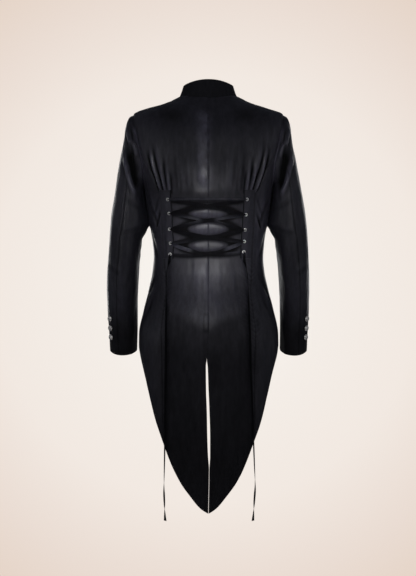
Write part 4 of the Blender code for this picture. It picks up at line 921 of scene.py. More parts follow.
def body_lines():
    """Every crease of the body as a line in space."""
    lines = []
    for crease in BACK_CREASES:
        spots = np.array([plain_body(angle_at(place, level), np.array(level)) for place, level in crease.line])
        lines.append((smooth_line(spots), crease))
    for crease in ROUND_CREASES:
        spots = np.array([plain_body(np.radians(angle), np.array(level)) for angle, level in crease.line])
        lines.append((smooth_line(spots), crease))
    return lines


BODY_LINES = body_lines()
SLACK_SIZES = (0.035, 0.035, 0.110)
SLACK_HEIGHT = 0.0016
RIPPLE_SIZES = (0.009, 0.009, 0.050)
RIPPLE_HEIGHT = 0.00055
SOFT_ROWS = 22
SPINE_WIDTH = 0.019
SPINE_HEIGHT = 0.0016


def lace_zone(points, level):
    """One under the lace and tabs, where the cloth has to stay low, and zero elsewhere."""
    zone = 1 - smooth_step(np.abs(points[..., 0]), 0.122, 0.134)
    zone = zone * smooth_step(level, -0.446, -0.432) * (1 - smooth_step(level, -0.262, -0.248))
    return zone * (points[..., 1] > 0)


# Painted shading of the small lumps and puckers: lighter where the cloth stands out, darker where it sinks
SLACK_PAINTED_SHADING = 0.12
RIPPLE_PAINTED_SHADING = 0.16
PUCKER_HEIGHT = 0.0008
PUCKER_PAINTED_SHADING = 0.30
PUCKER_REACH = 0.020
PUCKER_PITCH = 0.011
TONE_FLOOR = 0.02


def pucker_wave(points, angles, levels):
    """Short slanting puckers that fade away from the seam between back and side back."""
    seam = PRINCESS_ANGLE(levels)
    away = (np.abs(angles) - seam) * HALF_WIDTH(levels)
    wander = soft_noise(points, (0.02, 0.02, 0.03), 61)
    wave = np.sin(2 * np.pi * (points[..., 2] - 0.6 * np.abs(away)) / PUCKER_PITCH + 2.5 * wander)
    strong = 0.35 + 0.65 * smooth_step(-levels, 0.43, 0.47) * (1 - smooth_step(-levels, 0.60, 0.68))
    strong = strong * smooth_step(-levels, 0.20, 0.26) * (0.6 + 0.4 * soft_noise(points, (0.03, 0.03, 0.04), 67))
    return wave * strong * np.exp(-np.abs(away) / PUCKER_REACH) * (np.cos(angles) > 0)


def pool(value, middle, width):
    """A soft hump of one at the middle."""
    return np.exp(-((value - middle) / width) ** 2)


def painted_light_and_tack_stitches(points):
    """Painted light and shade on the satin by its place, and a darker stitched outline round the bar tack."""
    across = np.abs(points[..., 0])
    height = points[..., 2]
    behind = points[..., 1] > 0
    # Painted shade on the shoulders
    tone = 1 - 0.60 * pool(across, 0.095, 0.040) * pool(height, -0.060, 0.024)
    # Painted shade, darker towards the bottom of the tails
    tone = tone * (1 - 0.30 * smooth_step(-height, 0.60, 0.70)) * (1 - 0.45 * smooth_step(-height, 0.72, 0.98))
    # Painted light on the sides of the waist
    side = smooth_step(across, 0.118, 0.130) * smooth_step(-height, 0.25, 0.30)
    tone = tone * (1 + 0.45 * behind * side * (1 - smooth_step(-height, 0.42, 0.50)))
    # Painted sheen in a strip down the centre back
    spine_sheen = pool(points[..., 0], 0.012, 0.017) * smooth_step(-height, 0.035, 0.070)
    spine_sheen = spine_sheen * (1 - smooth_step(-height, 0.24, 0.275))
    # Painted sheen on the seat with a curved lower edge, and painted shade below that edge
    seat = pool(across, 0.0, 0.060) * smooth_step(-height, 0.44, 0.47)
    edge = -height + SEAT_SHEEN_CURVE * across + 0.006 * soft_noise(points, (0.02, 0.02, 0.03), 83)
    seat = seat * (1 - smooth_step(edge, 0.59, 0.62))
    tone = tone * (1 - 0.34 * behind * smooth_step(edge, 0.590, 0.625) * (1 - smooth_step(across, 0.10, 0.13)))
    spine_sheen = spine_sheen * (0.8 + 0.35 * soft_noise(points, (0.006, 0.006, 0.010), 71))
    # A darker stitched outline round the bar tack
    tack = np.maximum(np.abs(points[..., 0] - BAR_TACK_PLACE) / BAR_TACK_WIDTH,
                      np.abs(height - BAR_TACK_HEIGHT) / BAR_TACK_LENGTH)
    tone = tone * (1 - 0.4 * behind * np.exp(-((tack - 1) * BAR_TACK_WIDTH / 0.0013) ** 2) * (tack < 1.3))
    # Painted shade round the lace's top bar and a painted shadow just under it
    tone = tone * (1 - 0.45 * behind * pool(height, -0.268, 0.022) * (1 - smooth_step(across, 0.07, 0.10)))
    tone = tone * (1 - 0.75 * behind * pool(height, -0.2865, 0.0045) * (1 - smooth_step(across, 0.07, 0.09)))
    # The painted sheen of the strip and the seat lightens the cloth
    return tone * (1 + behind * (SPINE_PAINTED_SHEEN * spine_sheen + SEAT_PAINTED_SHEEN * seat))


# The stitched box over the vent: middle across, half width, middle height and half length
BAR_TACK_PLACE = 0.0062
BAR_TACK_WIDTH = 0.0052
BAR_TACK_HEIGHT = -0.595
BAR_TACK_LENGTH = 0.021
# Painted sheen on the seat and down the centre back: the slant of the seat sheen's lower edge, and how much each
# lightens the cloth
SEAT_SHEEN_CURVE = 0.42
SPINE_PAINTED_SHEEN = 2.6
SEAT_PAINTED_SHEEN = 0.8


def armhole_distance(points):
    """How far each point is from the armhole of its side."""
    turns = np.linspace(0, 360, 181)
    edge = body(*armhole(turns))
    distance = np.full(points.shape[:-1], 1.0)
    near = (np.abs(points[..., 0]) > 0.10) & (points[..., 2] > -0.27)
    spots = points[near] * np.array([1.0, 1.0, 1.0])
    spots[:, 0] = np.abs(spots[:, 0])
    gap = spots[:, None, :] - edge[None]
    distance[near] = np.sqrt(np.min(np.sum(gap * gap, axis=-1), axis=-1)) if len(spots) else 1.0
    return distance


# The sleeve and the side lie against each other from under the arm down to here
TOUCH_TOP = 0.238
TOUCH_RISE = 0.014
TOUCH_BOTTOM = 0.337
SIDE_SWELL = 0.0028
SLEEVE_SWELL = 0.0034


def touch_window(depth):
    """One where the sleeve lies against the side, by the depth below the neck."""
    above = smooth_step(depth, TOUCH_TOP, TOUCH_TOP + TOUCH_RISE)
    return above * (1 - smooth_step(depth, TOUCH_BOTTOM, TOUCH_BOTTOM + TOUCH_RISE))


def body_surface(angles, levels):
    """Points on the middle of the fine cloth, with bulges, creases and slack, and its tone with painted shade and
    painted highlights.
    """
    points = body(angles, levels)
    normals = body_normal(angles, levels)
    slack = soft_noise(points, SLACK_SIZES, 11)
    ripple = soft_noise(points, RIPPLE_SIZES, 23)
    pucker = pucker_wave(points, angles, levels)
    relief = SLACK_HEIGHT * slack + RIPPLE_HEIGHT * ripple + PUCKER_HEIGHT * pucker
    # Painted shading that follows the lumps and puckers
    tone = 1 + SLACK_PAINTED_SHADING * slack + RIPPLE_PAINTED_SHADING * ripple + PUCKER_PAINTED_SHADING * pucker
    for line, crease in BODY_LINES:
        moved, shade = crease_relief(points, normals, line, crease)
        relief += moved
        tone += shade
    low = lace_zone(points, levels)
    relief = relief * (1 - 0.75 * low)
    spine = np.exp(-(points[..., 0] / SPINE_WIDTH) ** 2) * (points[..., 1] > 0)
    relief += SPINE_HEIGHT * spine * smooth_step(-levels, 0.04, 0.12) * (1 - smooth_step(-levels, 0.22, 0.262))
    relief += puff_relief(points)
    relief += SIDE_SWELL * pool(np.abs(angles), SIDE_SEAM_ANGLE, 0.28) * touch_window(-levels)
    relief -= bulge_relief(angles, levels) * smooth_step(-levels, -EYELETS[3].crossing_level, -LAST_BULGE_LEVEL)
    relief *= smooth_step(armhole_distance(points), 0.0, 0.012)
    tone = np.maximum(tone, TONE_FLOOR) * painted_light_and_tack_stitches(points)
    return points + normals * relief[..., None], tone


def seam_dip(points, normals, borders, depth=0.0006, width=0.0020):
    """Round the cloth down into the seams along the named borders."""
    dip = np.zeros(points.shape[:-1])
    for border in borders:
        if border in ("start", "end"):
            edge = points[:, 0] if border == "start" else points[:, -1]
            distance = np.linalg.norm(points - edge[:, None], axis=-1)
        else:
            edge = points[0] if border == "top" else points[-1]
            distance = np.linalg.norm(points - edge[None], axis=-1)
        dip = np.maximum(dip, borders[border] * np.exp(-distance / width))
    return points - normals * (depth * dip)[..., None]


def seam_tone(points, borders, depth=0.55, width=0.0018):
    """Darker cloth along the sewn borders; a negative depth makes it lighter."""
    tone = np.ones(points.shape[:-1])
    for border in borders:
        if border in ("start", "end"):
            edge = points[:, 0] if border == "start" else points[:, -1]
            distance = np.linalg.norm(points - edge[:, None], axis=-1)
        else:
            edge = points[0] if border == "top" else points[-1]
            distance = np.linalg.norm(points - edge[None], axis=-1)
        tone = tone * (1 - depth * borders[border] * np.exp(-(distance / width) ** 2))
    return tone


def soften_rows(points, window):
    """Points averaged down their columns, as much as the window says."""
    padded = np.pad(points, ((SOFT_ROWS, SOFT_ROWS), (0, 0), (0, 0)), mode="reflect", reflect_type="odd")
    shares = np.exp(-(np.linspace(-2, 2, 2 * SOFT_ROWS + 1)) ** 2)
    soft = sum(share * padded[step:step + len(points)] for step, share in enumerate(shares / shares.sum()))
    return mix(points, soft, window[..., None])


def shoulder_window(angles, levels):
    """One over the shoulder blades and zero at the neck, the armholes and below."""
    across = np.abs(angles) / math.radians(ARMHOLE[4].angle)
    window = 1 - smooth_step(across, 0.55, 0.95)
    return window * smooth_step(-levels, 0.004, 0.020) * (1 - smooth_step(-levels, 0.18, 0.24))


def panel(name, angles, levels, side, seams):
    """A panel of the body from grids of angles and levels; seams are its sewn borders."""
    angles = angles * side
    points, tone = body_surface(angles, levels)
    tone = tone * puff_painted_light(points) * lace_shade(points)
    glint = np.exp(-(armhole_distance(points) / 0.0030) ** 2) * smooth_step(-points[..., 2], 0.075, 0.110)
    tone = tone * (1 + SEAM_GLINT * glint)
    points = soften_rows(points, shoulder_window(angles, levels) * (np.cos(angles) > 0))
    normals = body_normal(angles, levels)
    tone = tone * seam_tone(points, seams)
    points = seam_dip(points, normals, seams)
    return cloth_wall(name, points, CLOTH, normals, tone)


def row_curve(keys, values, shares):
    """Values at even or graded shares between rows that are given as lists."""
    return np.interp(shares, keys, values)


def back_grid(side):
    """Angles and levels of half of the back, from the neck to the tail's point."""
    vent = VENT_LEFT if side > 0 else VENT_RIGHT
    across = graded(56, 0.11)
    shoulder = np.linspace(0, 1, 50)[:-1]
    turns = np.linspace(0, BACK_SEAM_TURN, 40)[:-1]
    rows = []
    for share in shoulder:
        level = mix(BODY[0].level, ARMHOLE[0].level, share)
        rows.append((across * math.radians(ARMHOLE[0].angle), np.full(len(across), level)))
    for turn in turns:
        angle, level = armhole(turn)
        rows.append((across * float(angle), np.full(len(across), float(level))))
    ends = []
    for share in across:
        def column_angle(level):
            start = side * float(angle_at(vent(level), level))
            return mix(start, float(PRINCESS_ANGLE(level)), share)
        ends.append(hem_level(column_angle))
    ends = np.array(ends)
    top = float(armhole(BACK_SEAM_TURN)[1])
    upper = np.arange(top, HIP_LEVEL, -FINE)
    for level in upper:
        start = side * float(angle_at(vent(level), level))
        rows.append((mix(start, float(PRINCESS_ANGLE(level)), across), np.full(len(across), level)))
    for share in np.linspace(0, 1, 130):
        levels = mix(HIP_LEVEL, ends, share)
        starts = side * angle_at(vent(levels), levels)
        rows.append((mix(starts, PRINCESS_ANGLE(levels), across), levels))
    return np.array([row[0] for row in rows]), np.array([row[1] for row in rows])


def side_back_grid():
    """Angles and levels of the panel under the armhole."""
    across = graded(38, 0.10)
    down = graded(176, 0.48)
    top_angles, top_levels = armhole(mix(BACK_SEAM_TURN, UNDERARM_TURN, across))
    angles = np.zeros((len(down), len(across)))
    levels = np.zeros_like(angles)
    for column, share in enumerate(across):
        def straight(level):
            return mix(PRINCESS_ANGLE(level), SIDE_SEAM_ANGLE, share)
        swing = float(top_angles[column]) - float(straight(top_levels[column]))
        end = hem_level(lambda level: float(straight(level)))
        heights = mix(float(top_levels[column]), end, down)
        levels[:, column] = heights
        angles[:, column] = straight(heights) + swing * (1 - down) ** SWING_FADE
    return angles, levels


def front_grid():
    """Angles and levels of half of the front, past the centre."""
    across = graded(70, 0.20)
    shoulder_angle = math.radians(ARMHOLE[0].angle)
    rows = []

    def add_row(edge_angles, levels):
        lap = angle_at(FRONT_LAP, levels)
        rows.append((mix(edge_angles, math.pi + lap, across), levels))

    for share in np.linspace(0, 1, 56)[:-1]:
        level = mix(BODY[0].level, ARMHOLE[0].level, share)
        add_row(shoulder_angle, np.full(len(across), level))
    for turn in np.linspace(360, UNDERARM_TURN, 90)[:-1]:
        angle, level = armhole(turn)
        add_row(float(angle), np.full(len(across), float(level)))
    ends = []
    for share in across:
        def column_angle(level):
            return mix(SIDE_SEAM_ANGLE, math.pi + float(angle_at(FRONT_LAP, level)), share)
        ends.append(hem_level(column_angle))
    ends = np.array(ends)
    for share in np.linspace(0, 1, 130):
        levels = mix(UNDERARM_LEVEL, ends, share)
        add_row(SIDE_SEAM_ANGLE, levels)
    return np.array([row[0] for row in rows]), np.array([row[1] for row in rows])


# Sleeves

def four_point_ring(outer, back, inner, front, turn, square):
    """Points round a ring through four given points; turn 0 is outer and 90 degrees is back."""
    middle = (outer + back + inner + front) / 4
    across = rounded(np.cos(turn), 2 / square)[..., None]
    along = rounded(np.sin(turn), 2 / square)[..., None]
    point = middle + np.maximum(across, 0) * (outer - middle) + np.maximum(-across, 0) * (inner - middle)
    return point + np.maximum(along, 0) * (back - middle) + np.maximum(-along, 0) * (front - middle)


def armhole_points(turns):
    """The sleeve's top edge: the armhole moved out along X until the walls clear each other."""
    angles, levels = armhole(np.mod(np.asarray(turns, dtype=float), 360))
    normals = body_normal(angles, levels)
    points = body(angles, levels)
    points[:, 0] += AIR + CLOTH * np.abs(normals[:, 0])
    return points


def sleeve_rings(turns):
    """Rings of points down the left sleeve, at the given turns."""
    turns = np.asarray(turns, dtype=float)
    radians = np.radians(turns)
    loop = armhole_points(turns)
    corners = armhole_points([0, 90, 180, 270])
    stray = loop - four_point_ring(*corners, radians, SLEEVE_SQUARE)
    rings = [loop]
    for ring in SLEEVE:
        middle = (ring.back + ring.front) / 2
        centre = (ring.outer + ring.inner) / 2
        spots = (np.array([ring.outer, middle, ring.outer_height]),
                 np.array([centre, ring.back, ring.back_height]),
                 np.array([ring.inner, middle, ring.inner_height]),
                 np.array([centre, ring.front, ring.front_height]))
        rings.append(four_point_ring(*spots, radians, SLEEVE_SQUARE) + stray * ring.armhole_share)
    return np.array(rings)


def sleeve_grid(turns, rows):
    """A fine grid of the left sleeve: smooth down its length at each turn."""
    rings = sleeve_rings(turns)
    keys = np.concatenate([[0], np.cumsum(np.linalg.norm(np.diff(rings.mean(axis=1), axis=0), axis=-1))])
    keys = keys / keys[-1]
    points = np.zeros((len(rows), len(turns), 3))
    for column in range(len(turns)):
        for axis in range(3):
            points[:, column, axis] = SmoothCurve(keys, rings[:, column, axis])(rows)
    return points


def outward_from_axis(points, rings):
    """Rough outward directions of a sleeve, from the middle of each of its rings."""
    return points - rings.mean(axis=1, keepdims=True)


SLEEVE_ROWS = np.concatenate([np.linspace(0, 0.10, 40)[:-1], graded(225, 0.62)[3:] * 0.90 + 0.10])
SLEEVE_MAP_TURNS = np.arange(0, 360, 3.0)
SLEEVE_MAP = sleeve_grid(SLEEVE_MAP_TURNS, SLEEVE_ROWS)


def sleeve_spot(turn, height):
    """The point of the left sleeve at a turn and a height."""
    column = SLEEVE_MAP[:, int(round((turn % 360) / 3.0)) % len(SLEEVE_MAP_TURNS)]
    row = int(np.argmin(np.abs(column[:, 2] - height)))
    return column[row]


def sleeve_lines(side):
    """The creases of a sleeve as lines in space, those of the right sleeve shifted a little."""
    lines = []
    for crease in SLEEVE_CREASES:
        shift = 0 if side > 0 else SLEEVE_SIDE_SHIFT
        spots = np.array([sleeve_spot(turn + shift, height - 0.001 * shift) for turn, height in crease.line])
        lines.append((smooth_line(spots), crease))
    return lines


def sleeve_surface(turns, side):
    """Points on the middle of a fine sleeve, drawn as a left one, outward directions, and its tone with painted
    shade and painted highlights.
    """
    points = sleeve_grid(turns, SLEEVE_ROWS)
    full = sleeve_grid(SLEEVE_MAP_TURNS, SLEEVE_ROWS)
    outward = unit(outward_from_axis(points, full))
    normals = grid_normals(points)
    if np.sum(normals * outward) < 0:
        normals = -normals
    slack = soft_noise(points, SLACK_SIZES, 31 if side > 0 else 37)
    ripple = soft_noise(points, RIPPLE_SIZES, 43)
    relief = SLEEVE_SLACK * SLACK_HEIGHT * slack + SLEEVE_RIPPLE * RIPPLE_HEIGHT * ripple
    # Painted shading that follows the lumps
    tone = 1 + SLACK_PAINTED_SHADING * slack + RIPPLE_PAINTED_SHADING * ripple
    for line, crease in sleeve_lines(side):
        moved, shade = crease_relief(points, normals, line, crease)
        relief += moved
        tone += shade
    depth = np.linalg.norm(points - points[0][None], axis=-1)
    top = np.clip(np.cos(np.radians(np.asarray(turns) - 20)), 0, 1)
    gathers = np.sin(np.radians(np.asarray(turns)) * 21 + 1.3 * np.sin(np.radians(np.asarray(turns)) * 5))
    relief += 0.0009 * (top * gathers)[None] * np.exp(-depth / 0.022) * smooth_step(depth, 0, 0.006)
    inner = pool(np.abs(np.asarray(turns)), UNDERARM_TURN, 34.0)
    relief += SLEEVE_SWELL * inner[None] * touch_window(-points[..., 2])
    fade = smooth_step(depth, 0.0, 0.008)
    points = points + normals * (relief * fade)[..., None]
    body_way = body_normal(*armhole(np.mod(np.asarray(turns, dtype=float), 360)))
    # Painted shade, darker towards the cuffs
    tone = np.maximum(tone, TONE_FLOOR) * (1 - 0.70 * smooth_step(-points[..., 2], 0.54, 0.64))
    glint = np.exp(-(depth / 0.0040) ** 2) * smooth_step(-points[..., 2], 0.075, 0.110)
    tone = tone * (1 + SEAM_GLINT * glint)
    tone = np.concatenate([np.repeat(tone[:1], len(SLEEVE_TUCK), axis=0), tone])
    tucks = [points[0] - np.array([reach, 0.0, 0.0]) - body_way * drop for reach, drop in SLEEVE_TUCK]
    normals = np.concatenate([normals[:1]] * len(tucks) + [normals])
    return np.concatenate([np.array(tucks), points]), normals, tone


SLEEVE_SEAMS = {"start": 1.0, "end": 1.0}
CENTRE_SEAM_SHARE = 0.15


def make_sleeve(label, side):
    """Top sleeve and under sleeve, which meet in a seam behind and a seam in front."""
    over = np.mod(mix(FRONT_SEAM_TURN, 360 + BACK_SEAM_TURN, graded(80, 0.22)), 360)
    under = mix(BACK_SEAM_TURN, FRONT_SEAM_TURN, graded(52, 0.13))
    pieces = []
    for name, turns in (("top_sleeve_" + label, over), ("under_sleeve_" + label, under)):
        points, normals, tone = sleeve_surface(turns, side)
        tone = tone * seam_tone(points, SLEEVE_SEAMS)
        points = seam_dip(points, normals, SLEEVE_SEAMS, depth=0.0009)
        points[..., 0] *= side
        normals = normals * np.array([side, 1, 1])
        pieces.append(cloth_wall(name, points, CLOTH, normals, tone, ("bottom", "start", "end")))
    return pieces


# Collar and tabs

def collar_points(angles, heights):
    """The middle of the stand collar at given angles and shares of its height."""
    keys = np.linspace(0, 1, len(COLLAR))
    sine = np.sin(angles)
    cosine = np.cos(angles)
    lean = cosine ** 2
    rings = []
    for share in heights:
        back, back_height, reach_side, side_height, front, front_height = [
            float(SmoothCurve(keys, [getattr(ring, field) for ring in COLLAR])(share))
            for field in CollarRing._fields]
        reach = np.where(cosine > 0, back, front)
        height = np.where(cosine > 0, back_height, front_height)
        rings.append(np.stack([reach_side * sine, reach * cosine,
                               side_height * (1 - lean) + height * lean], axis=-1))
    return np.array(rings)


def make_collar():
    """The stand collar, once round the neck, with its ends at the centre front."""
    end_angle = math.pi - COLLAR_END_ANGLE
    angles = mix(end_angle, -end_angle, graded(COLLAR_COLUMNS, 0.42))
    points = collar_points(angles, graded(COLLAR_ROWS, 0.05))
    tuck = points[0] - (collar_points(angles, [COLLAR_TUCK])[0] - points[0])
    points = np.concatenate([tuck[None], points])
    outward = points * np.array([1.0, 1.0, 0.0])
    relief = 0.0006 * soft_noise(points, (0.03, 0.03, 0.05), 51)
    points = points + unit(outward) * relief[..., None]
    # The collar's whole tone is painted shade
    return cloth_wall("stand_collar", points, COLLAR_CLOTH, outward, np.full(points.shape[:-1], COLLAR_PAINTED_SHADE))


def tab_lift(offset):
    """How far the tab stands off, by the distance from the line of eyelets towards the side."""
    outer = smooth_step(offset, TAB_SLOPE_START, TAB_SLOPE_END)
    inner = smooth_step(-offset, 0.0, TAB_INNER)
    return (TAB_EYELET_LIFT + (TAB_OUTER_LIFT - TAB_EYELET_LIFT) * outer
            + (TAB_INNER_LIFT - TAB_EYELET_LIFT) * inner)


def lathe(profile, segments):
    """Points and faces of a turned solid; profile rows are radius and height, poles at radius 0."""
    vertices = []
    rings = []
    for radius, height in profile:
        if radius == 0:
            rings.append([len(vertices)] * segments)
            vertices.append((0, 0, height))
            continue
        ring = []
        for step in range(segments):
            turn = 2 * math.pi * step / segments
            ring.append(len(vertices))
            vertices.append((radius * math.cos(turn), radius * math.sin(turn), height))
        rings.append(ring)
    faces = []
    pairs = list(zip(rings, rings[1:]))
    if profile[0][0] != 0:
        pairs.append((rings[-1], rings[0]))
    for lower, upper in pairs:
        for step in range(segments):
            after = (step + 1) % segments
            corners = [lower[step], lower[after], upper[after], upper[step]]
            face = [corner for spot, corner in enumerate(corners) if corner not in corners[:spot]]
            faces.append(tuple(face))
    return vertices, faces


def seat_matrix(point, normal, down=(0, 0, -1)):
    """The placing of a thing that stands at a point with its own Z along the normal."""
    up = Vector(normal).normalized()
    across = Vector(down).cross(up).normalized()
    along = up.cross(across)
    turn = Matrix((across, along, up)).transposed()
    return Matrix.Translation(Vector(point)) @ turn.to_4x4()


def face_outwards(mesh):
    """Turn the faces of a closed mesh outwards."""
    shell = bmesh.new()
    shell.from_mesh(mesh)
    bmesh.ops.recalc_face_normals(shell, faces=shell.faces)
    if shell.calc_volume(signed=True) < 0:
        bmesh.ops.reverse_faces(shell, faces=shell.faces)
    shell.to_mesh(mesh)
    shell.free()


def make_tab(label, side):
    """The eyelet tab with its holes, its outer edge on the seam and its inner edge over the lace."""
    line = eyelet_line(side)
    levels = mix(TAB_TOP_LEVEL, TAB_BOTTOM_LEVEL, graded(TAB_ROWS, 0.18))
    offsets = mix(-TAB_INNER, TAB_OUTER, graded(TAB_COLUMNS, 0.03))
    grid_levels, grid_offsets = np.meshgrid(levels, offsets, indexing="ij")
    places = line(grid_levels) + grid_offsets
    points, normals = off_body(side * places, grid_levels, tab_lift(grid_offsets))
    # Painted shade along the tab's inner edge, over the lace, and fainter along its outer edge
    inner_edge_shade = np.exp(-((grid_offsets + TAB_INNER) / 0.0026) ** 2)
    outer_edge_shade = np.exp(-((TAB_OUTER - grid_offsets) / 0.0014) ** 2)
    tone = (1 - TAB_EDGE_SHADE * inner_edge_shade) * (1 - 0.4 * TAB_EDGE_SHADE * outer_edge_shade)
    tab = cloth_wall("eyelet_tab_" + label, points, TAB_CLOTH, normals, tone)
    vertices, faces = lathe([(0, -0.006), (0.0030, -0.006), (0.0030, 0.006), (0, 0.006)], 28)
    all_vertices = []
    all_faces = []
    for place, level in eyelet_places(side):
        placing = seat_matrix(*eyelet_seat(side, place, level))
        shift = len(all_vertices)
        all_vertices += [tuple(placing @ Vector(vertex)) for vertex in vertices]
        all_faces += [tuple(index + shift for index in face) for face in faces]
    cutter = new_object("tab_holes_" + label, all_vertices, all_faces)
    face_outwards(cutter.data)
    cut = tab.modifiers.new("eyelet holes", "BOOLEAN")
    cut.operation = "DIFFERENCE"
    cut.solver = "EXACT"
    cut.object = cutter
    bpy.context.view_layer.update()
    evaluated = tab.evaluated_get(bpy.context.evaluated_depsgraph_get())
    finished = bpy.data.meshes.new_from_object(evaluated)
    tab.modifiers.clear()
    tab.data = finished
    bpy.data.objects.remove(cutter)
    finished.shade_smooth()
    finished.set_sharp_from_angle(angle=math.radians(50))
    return tab


# Laces

RibbonStep = namedtuple("RibbonStep", "point across width thickness")
RIBBON_PROFILE = [(-1.0, 0.55), (-0.94, 1.0), (-0.72, 0.72), (-0.36, 0.66), (0.0, 0.66),
                  (0.36, 0.66), (0.72, 0.72), (0.94, 1.0), (1.0, 0.55)]


def pass_steps(side, row, steps):
    """The lace through one eyelet, from below the tab to above it."""
    place, level = eyelet_places(side)[row]
    centre, normal = eyelet_seat(side, place, level)
    down = np.array([0.0, 0.0, -1.0])
    down = unit(down - normal * np.dot(down, normal))
    inward = np.cross(normal, down)
    if inward[0] * side > 0:
        inward = -inward
    return [RibbonStep(centre + inward * step.inward + normal * step.height, down,
                       step.width, step.thickness) for step in steps]


def span_steps(side, row, over):
    """The lace from the top of one eyelet to under the next one on the other side."""
    start, start_level = eyelet_places(side)[row]
    end, end_level = eyelet_places(-side)[row + 1]
    crossing = EYELETS[row].crossing_level
    lean = [side, 0.0, SPAN_LEAN]
    steps = []
    for step in LACE_SPAN:
        place = mix(side * start, -side * end, step.share)
        bend = 4 * step.share * (1 - step.share)
        level = mix(start_level, end_level, step.share)
        level += (crossing - (start_level + end_level) / 2) * bend
        height = step.over if over else step.under
        point, normal = off_body(np.array(place), np.array(level), height)
        steps.append(RibbonStep(point, np.cross(normal, lean), step.width, LACE_THICKNESS))
    return steps


def half_lace(side):
    """The lace from the top eyelet of one side, down to its free end."""
    steps = pass_steps(side, 0, EYELET_PASS)
    for row in range(len(EYELETS) - 1):
        steps += span_steps(side, row, over=(row % 2 == 0) == (side > 0))
        side = -side
        last = row == len(EYELETS) - 2
        steps += pass_steps(side, row + 1, EYELET_PASS[:LAST_PASS_STEPS] if last else EYELET_PASS)
    return steps


def top_bar():
    """The straight bar of lace between the top eyelets, under the tabs, from right to left."""
    left, left_level = eyelet_places(1)[0]
    right, right_level = eyelet_places(-1)[0]
    steps = []
    for share, width in TOP_BAR:
        place = mix(-right, left, share)
        level = mix(right_level, left_level, share) - BAR_SAG * 4 * share * (1 - share)
        point, normal = off_body(np.array(place), np.array(level), BAR_LIFT)
        steps.append(RibbonStep(point, np.cross(normal, [1.0, 0.0, 0.0]), width, LACE_THICKNESS))
    return steps


def lace_end_steps(side, table):
    """A free end, out of the lowest eyelet, down the tab and the coat, then straight down."""
    place, level = eyelet_places(side)[-1]
    centre, normal = eyelet_seat(side, place, level)
    down = np.array([0.0, 0.0, -1.0])
    across = np.cross(normal, down)
    edge_drop = level - TAB_BOTTOM_LEVEL + TAB_EDGE_STEP.drop
    steps = []
    for start in LACE_END_START + [TAB_EDGE_STEP._replace(drop=edge_drop)]:
        point = centre + normal * start.height + down * start.drop
        steps.append(RibbonStep(point, across, start.width, start.thickness))
    places = table_curve(table, "level", "place")
    turns = table_curve(table, "level", "turn")
    widths = table_curve(table, "level", "width")
    top = table[0].level
    bottom = table[-1].level
    for level in np.linspace(top, bottom, round((top - bottom) / LACE_STEP) + 1):
        held = np.maximum(level, LACE_FREE_LEVEL)
        turn = math.radians(float(turns(level)))
        width = float(widths(level))
        standoff = LACE_CLEARANCE + width / 2 * abs(math.sin(turn))
        point, out = off_body(side * places(level), held, standoff)
        point = np.array([point[0], point[1], level])
        flat = unit(np.cross(out, down))
        width_way = flat * math.cos(turn) + out * math.sin(turn)
        steps.append(RibbonStep(point, width_way, width, LACE_THICKNESS))
    return steps


def finer_steps(steps):
    """The same ribbon in short even steps."""
    points = np.array([step.point for step in steps])
    length = np.concatenate([[0], np.cumsum(np.linalg.norm(np.diff(points, axis=0), axis=-1))])
    even = np.linspace(0, length[-1], int(length[-1] / RIBBON_STEP) + 1)

    def curve(values):
        return SmoothCurve(length, values)(even)

    across = np.array([unit(np.asarray(step.across, dtype=float)) for step in steps])
    for spot in range(1, len(across)):
        if np.dot(across[spot], across[spot - 1]) < 0:
            across[spot] = -across[spot]
    places = np.stack([curve(points[:, axis]) for axis in range(3)], axis=-1)
    ways = np.stack([curve(across[:, axis]) for axis in range(3)], axis=-1)
    widths = curve([step.width for step in steps])
    depths = curve([step.thickness for step in steps])
    return places, ways, widths, depths


# Where the lace catches the light: level, reach up and down, from this far across, and how much
Glint = namedtuple("Glint", "level reach across strength")
GLINTS = [
    Glint(-0.2774, 0.0040, 0.0, 5.0),
    Glint(-0.3300, 0.0080, 0.030, 6.0),
    Glint(-0.4040, 0.0120, 0.055, 9.0),
]


def lace_tone(points):
    """Brighter lace where it lies flat to the light, and dark elsewhere."""
    tone = np.ones(len(points))
    for glint in GLINTS:
        near = pool(points[:, 2], glint.level, glint.reach) * smooth_step(np.abs(points[:, 0]) + 0.02, glint.across,
                                                                        glint.across + 0.02)
        tone += glint.strength * near
    return tone


def ribbon(name, steps):
    """A closed woven ribbon with thicker selvedges, and the points that its middle follows."""
    places, ways, widths, depths = finer_steps(steps)
    tangents = unit(np.gradient(places, axis=0))
    ways = unit(ways - tangents * np.sum(ways * tangents, axis=-1, keepdims=True))
    outs = np.cross(tangents, ways)
    profile = RIBBON_PROFILE + [(wide, -thick) for wide, thick in reversed(RIBBON_PROFILE)]
    rings = []
    for wide, thick in profile:
        rings.append(places + ways * (wide * widths / 2)[:, None] + outs * (thick * depths / 2)[:, None])
    rings = np.stack(rings, axis=1)
    count, corners = rings.shape[:2]
    index = np.arange(count * corners).reshape(count, corners)
    after = np.roll(index, -1, axis=1)
    faces = np.stack([index[:-1], after[:-1], after[1:], index[1:]], axis=-1).reshape(-1, 4).tolist()
    faces.append(index[0, ::-1].tolist())
    faces.append(index[-1].tolist())
    thing = new_object(name, rings.reshape(-1, 3), faces)
    face_outwards(thing.data)
    thing.data.set_sharp_from_angle(angle=math.radians(60))
    # The tone attribute carries the lace's painted highlights
    tones = thing.data.attributes.new("tone", "FLOAT", "POINT")
    tones.data.foreach_set("value", lace_tone(rings.reshape(-1, 3)).astype(np.float32))
    return thing, places


# Eyelets and buttons

EYELET_PROFILE = [(0.00230, -0.0015), (0.00226, 0.0004), (0.00230, 0.0013), (0.00250, 0.0017),
                  (0.00290, 0.00190), (0.00335, 0.00185), (0.00385, 0.00160), (0.00425, 0.00125),
                  (0.00430, 0.00110), (0.00420, 0.00105), (0.00260, 0.00105), (0.00258, -0.0015)]


